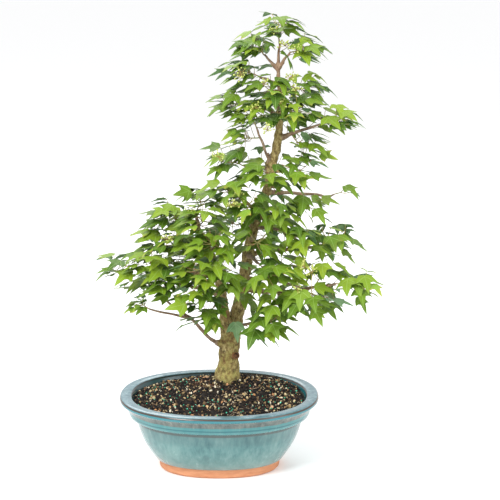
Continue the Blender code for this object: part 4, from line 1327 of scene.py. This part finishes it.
# %% Leaf surface
def leaf_material():
    g = Graph("maple_leaf", Specular_IOR_Level=0.32)
    spot = g.attribute("blade")
    look = g.attribute("look")
    across, up, side = (g.axis(spot, i) for i in range(3))
    tint, young, shade = (g.axis(look, i) for i in range(3))
    flat = abs(across)
    lobe = abs(flat * 0.646 - up * 0.763 + 0.05)
    vein = g.least(flat, lobe)
    wiggle = g.noise(g.place(), 240.0, 4.0)
    branch = g.node("Math", {"operation": "PINGPONG"}, [up * 1.0 - flat * 0.75, 0.055])
    fine = g.rise(branch, 0.006, 0.0) * 0.5
    veins = g.least(g.rise(vein, 0.016, 0.004) + fine, g.rise(up, -0.05, 0.02))
    patch = g.noise(g.place(), 55.0, 3.0)
    top = g.ramp(0.72 * tint + 0.28 * patch, (0.10, (0.046, 0.112, 0.005)),
                 (0.34, (0.110, 0.208, 0.008)), (0.58, (0.160, 0.268, 0.010)),
                 (0.84, (0.230, 0.338, 0.016)))
    top = g.blend(0.20 * (1.0 - shade), top, (0.018, 0.074, 0.007))
    fresh = g.blend(g.rise(up + flat, 0.35, 1.0), (0.215, 0.365, 0.031), (0.355, 0.400, 0.046))
    top = g.blend(g.rise(young, 0.30, 0.80), top, fresh)
    edge = g.rise(young, 0.38, 0.60) * g.rise(flat + 0.35 * up, 0.46, 0.66)
    top = g.blend(0.5 * edge, top, (0.420, 0.170, 0.040))
    top = g.blend(0.45 * veins, top, (0.330, 0.500, 0.130))
    under = g.blend(0.5 * veins, g.ramp(patch, (0.3, (0.110, 0.225, 0.085)),
                                        (0.7, (0.200, 0.330, 0.150))), (0.340, 0.480, 0.260))
    blade = g.blend(g.rise(side, -0.5, 0.5), under, top)
    stalk = g.ramp(wiggle, (0.35, (0.200, 0.260, 0.055)), (0.52, (0.330, 0.270, 0.100)),
                   (0.68, (0.420, 0.160, 0.090)))
    is_blade = g.rise(abs(side), 0.1, 0.3)
    colour = g.blend(is_blade, stalk, blade)
    rough = 0.56 + 0.22 * wiggle - 0.12 * g.rise(side, -0.5, 0.5)
    height = 0.6 * (1.0 - veins) + 0.4 * patch
    return g.feed(Base_Color=colour, Roughness=rough, Normal=g.bump(height, 0.0006, 0.5))


leaf_finish = leaf_material()
for name, piece in pieces.items():
    finish_piece(piece, leaf_finish, "leaf", *([name] if name in nodes else []))

# %% [markdown]
# ## The flowers
# In late spring small clusters of yellow-green flowers stand on thin stalks among the
# leaves. A flower is a tiny sphere of twenty faces on a hair-thin stalk.

# %% Flower clusters
FLOWER_SPOTS = (
    (0.084, 0.020, 0.664), (0.098, 0.010, 0.644), (0.115, 0.000, 0.639), (0.033, 0.000, 0.603),
    (0.098, -0.010, 0.575), (0.091, -0.020, 0.562), (0.054, -0.010, 0.556),
    (0.001, 0.000, 0.481), (0.032, -0.020, 0.425), (0.021, -0.040, 0.417),
    (-0.041, -0.020, 0.401), (-0.074, -0.030, 0.363), (0.128, -0.050, 0.326),
    (0.138, -0.050, 0.319), (0.117, -0.050, 0.291), (0.106, 0.000, 0.598),
    (0.068, -0.010, 0.590), (0.112, -0.010, 0.580), (0.073, -0.020, 0.524),
)


def model_flowers():
    rng = random.Random(9)
    lines = [point for line, _ in shoots.values() for point in line]
    routes, heads = [], []
    for spot in FLOWER_SPOTS:
        centre = Vector(spot)
        root = min(lines, key=lambda point: (point - centre).length)
        routes.append([(*root, 0.00055), (*(root.lerp(centre, 0.6) + UP * 0.002), 0.00045),
                       (*centre, 0.0004)])
        for _ in range(16):
            way = Vector((rng.uniform(-1, 1), rng.uniform(-1, 0.6), rng.uniform(-0.3, 1.2)))
            head = centre + way.normalized() * rng.uniform(0.005, 0.0120)
            routes.append([(*centre, 0.0003), (*centre.lerp(head, 0.5), 0.00027),
                           (*head, 0.00025)])
            heads.append(head)
    stalks = stems("flower_clusters", routes, 0, 1)
    write_attribute(stalks.data, "head", np.zeros(len(stalks.data.vertices)))
    deselect()
    bpy.ops.mesh.primitive_ico_sphere_add(subdivisions=1, radius=1.0)
    seed = bpy.context.object
    shape = corners_of(seed.data)
    faces = np.array([face.vertices[:] for face in seed.data.polygons])
    sizes = np.array([rng.uniform(0.0010, 0.0018) for _ in heads])
    places = (shape[None] * sizes[:, None, None] + np.array(heads)[:, None]).reshape(-1, 3)
    all_faces = (faces[None] + (np.arange(len(heads)) * len(shape))[:, None, None]).reshape(-1, 3)
    seed.data.clear_geometry()
    seed.data.from_pydata(places.tolist(), [], all_faces.tolist())
    write_attribute(seed.data, "head", np.ones(len(places)))
    work_on(seed)
    stalks.select_set(True)
    bpy.context.view_layer.objects.active = stalks
    bpy.ops.object.join()
    work_on(stalks)
    bpy.ops.object.shade_smooth()
    return stalks


def flower_material():
    g = Graph("maple_flower", Roughness=0.6)
    mottle = g.noise(g.place(), 700.0)
    head = g.ramp(mottle, (0.35, (0.300, 0.380, 0.060)), (0.65, (0.580, 0.620, 0.180)))
    colour = g.blend(g.number("head"), (0.420, 0.330, 0.090), head)
    return g.feed(Base_Color=colour, Normal=g.bump(mottle, 0.0003, 0.5))


flowers = model_flowers()
report(flowers)
finish_piece(flowers, flower_material(), "leaf")

# %% [markdown]
# ## Light and camera
# The tree stands on a white sweep under a large soft light from the front left, with a
# weaker one from the right. The camera looks slightly down on it from the front.


# %% Stage
def soft_light(name, place, aim, size, power):
    deselect()
    bpy.ops.object.light_add(type="AREA", location=place)
    lamp = bpy.context.object
    lamp.name = name
    lamp.data.shape = "DISK"
    lamp.data.size = size
    lamp.data.energy = power
    lamp.rotation_euler = (Vector(aim) - Vector(place)).to_track_quat("-Z", "Y").to_euler()
    return lamp


def model_floor():
    deselect()
    bpy.ops.mesh.primitive_plane_add(size=120.0, location=(0.0, 0.0, -0.0006))
    floor = bpy.context.object
    floor.name = "floor"
    floor.data.materials.append(Graph("floor_paper", Roughness=0.9).material)
    floor.active_material.node_tree.nodes["Principled BSDF"].inputs[0].default_value = (
        0.97, 0.975, 0.98, 1.0)
    return floor


middle = (0.03, 0.0, 0.35)
key = soft_light("key", (-1.1, -1.7, 2.1), middle, 1.1, 62.0)
fill = soft_light("fill", (1.8, -1.2, 1.2), middle, 1.6, 16.0)
back = soft_light("back", (-0.4, 1.9, 1.9), middle, 1.6, 20.0)
floor = model_floor()

world = bpy.context.scene.world or bpy.data.worlds.new("World")
bpy.context.scene.world = world
world.use_nodes = True
world.node_tree.nodes["Background"].inputs[0].default_value = (1.0, 1.0, 1.0, 1.0)
world.node_tree.nodes["Background"].inputs[1].default_value = 1.0
bpy.context.scene.view_settings.view_transform = "Standard"

deselect()
bpy.ops.object.camera_add(location=(0.0472, -2.187, 0.868),
                          rotation=(math.radians(76.43), 0.0, 0.0))
camera = bpy.context.object
camera.data.lens = 108.0
camera.data.sensor_width = 36.0
bpy.context.scene.camera = camera
print("camera", [round(value, 3) for value in camera.location])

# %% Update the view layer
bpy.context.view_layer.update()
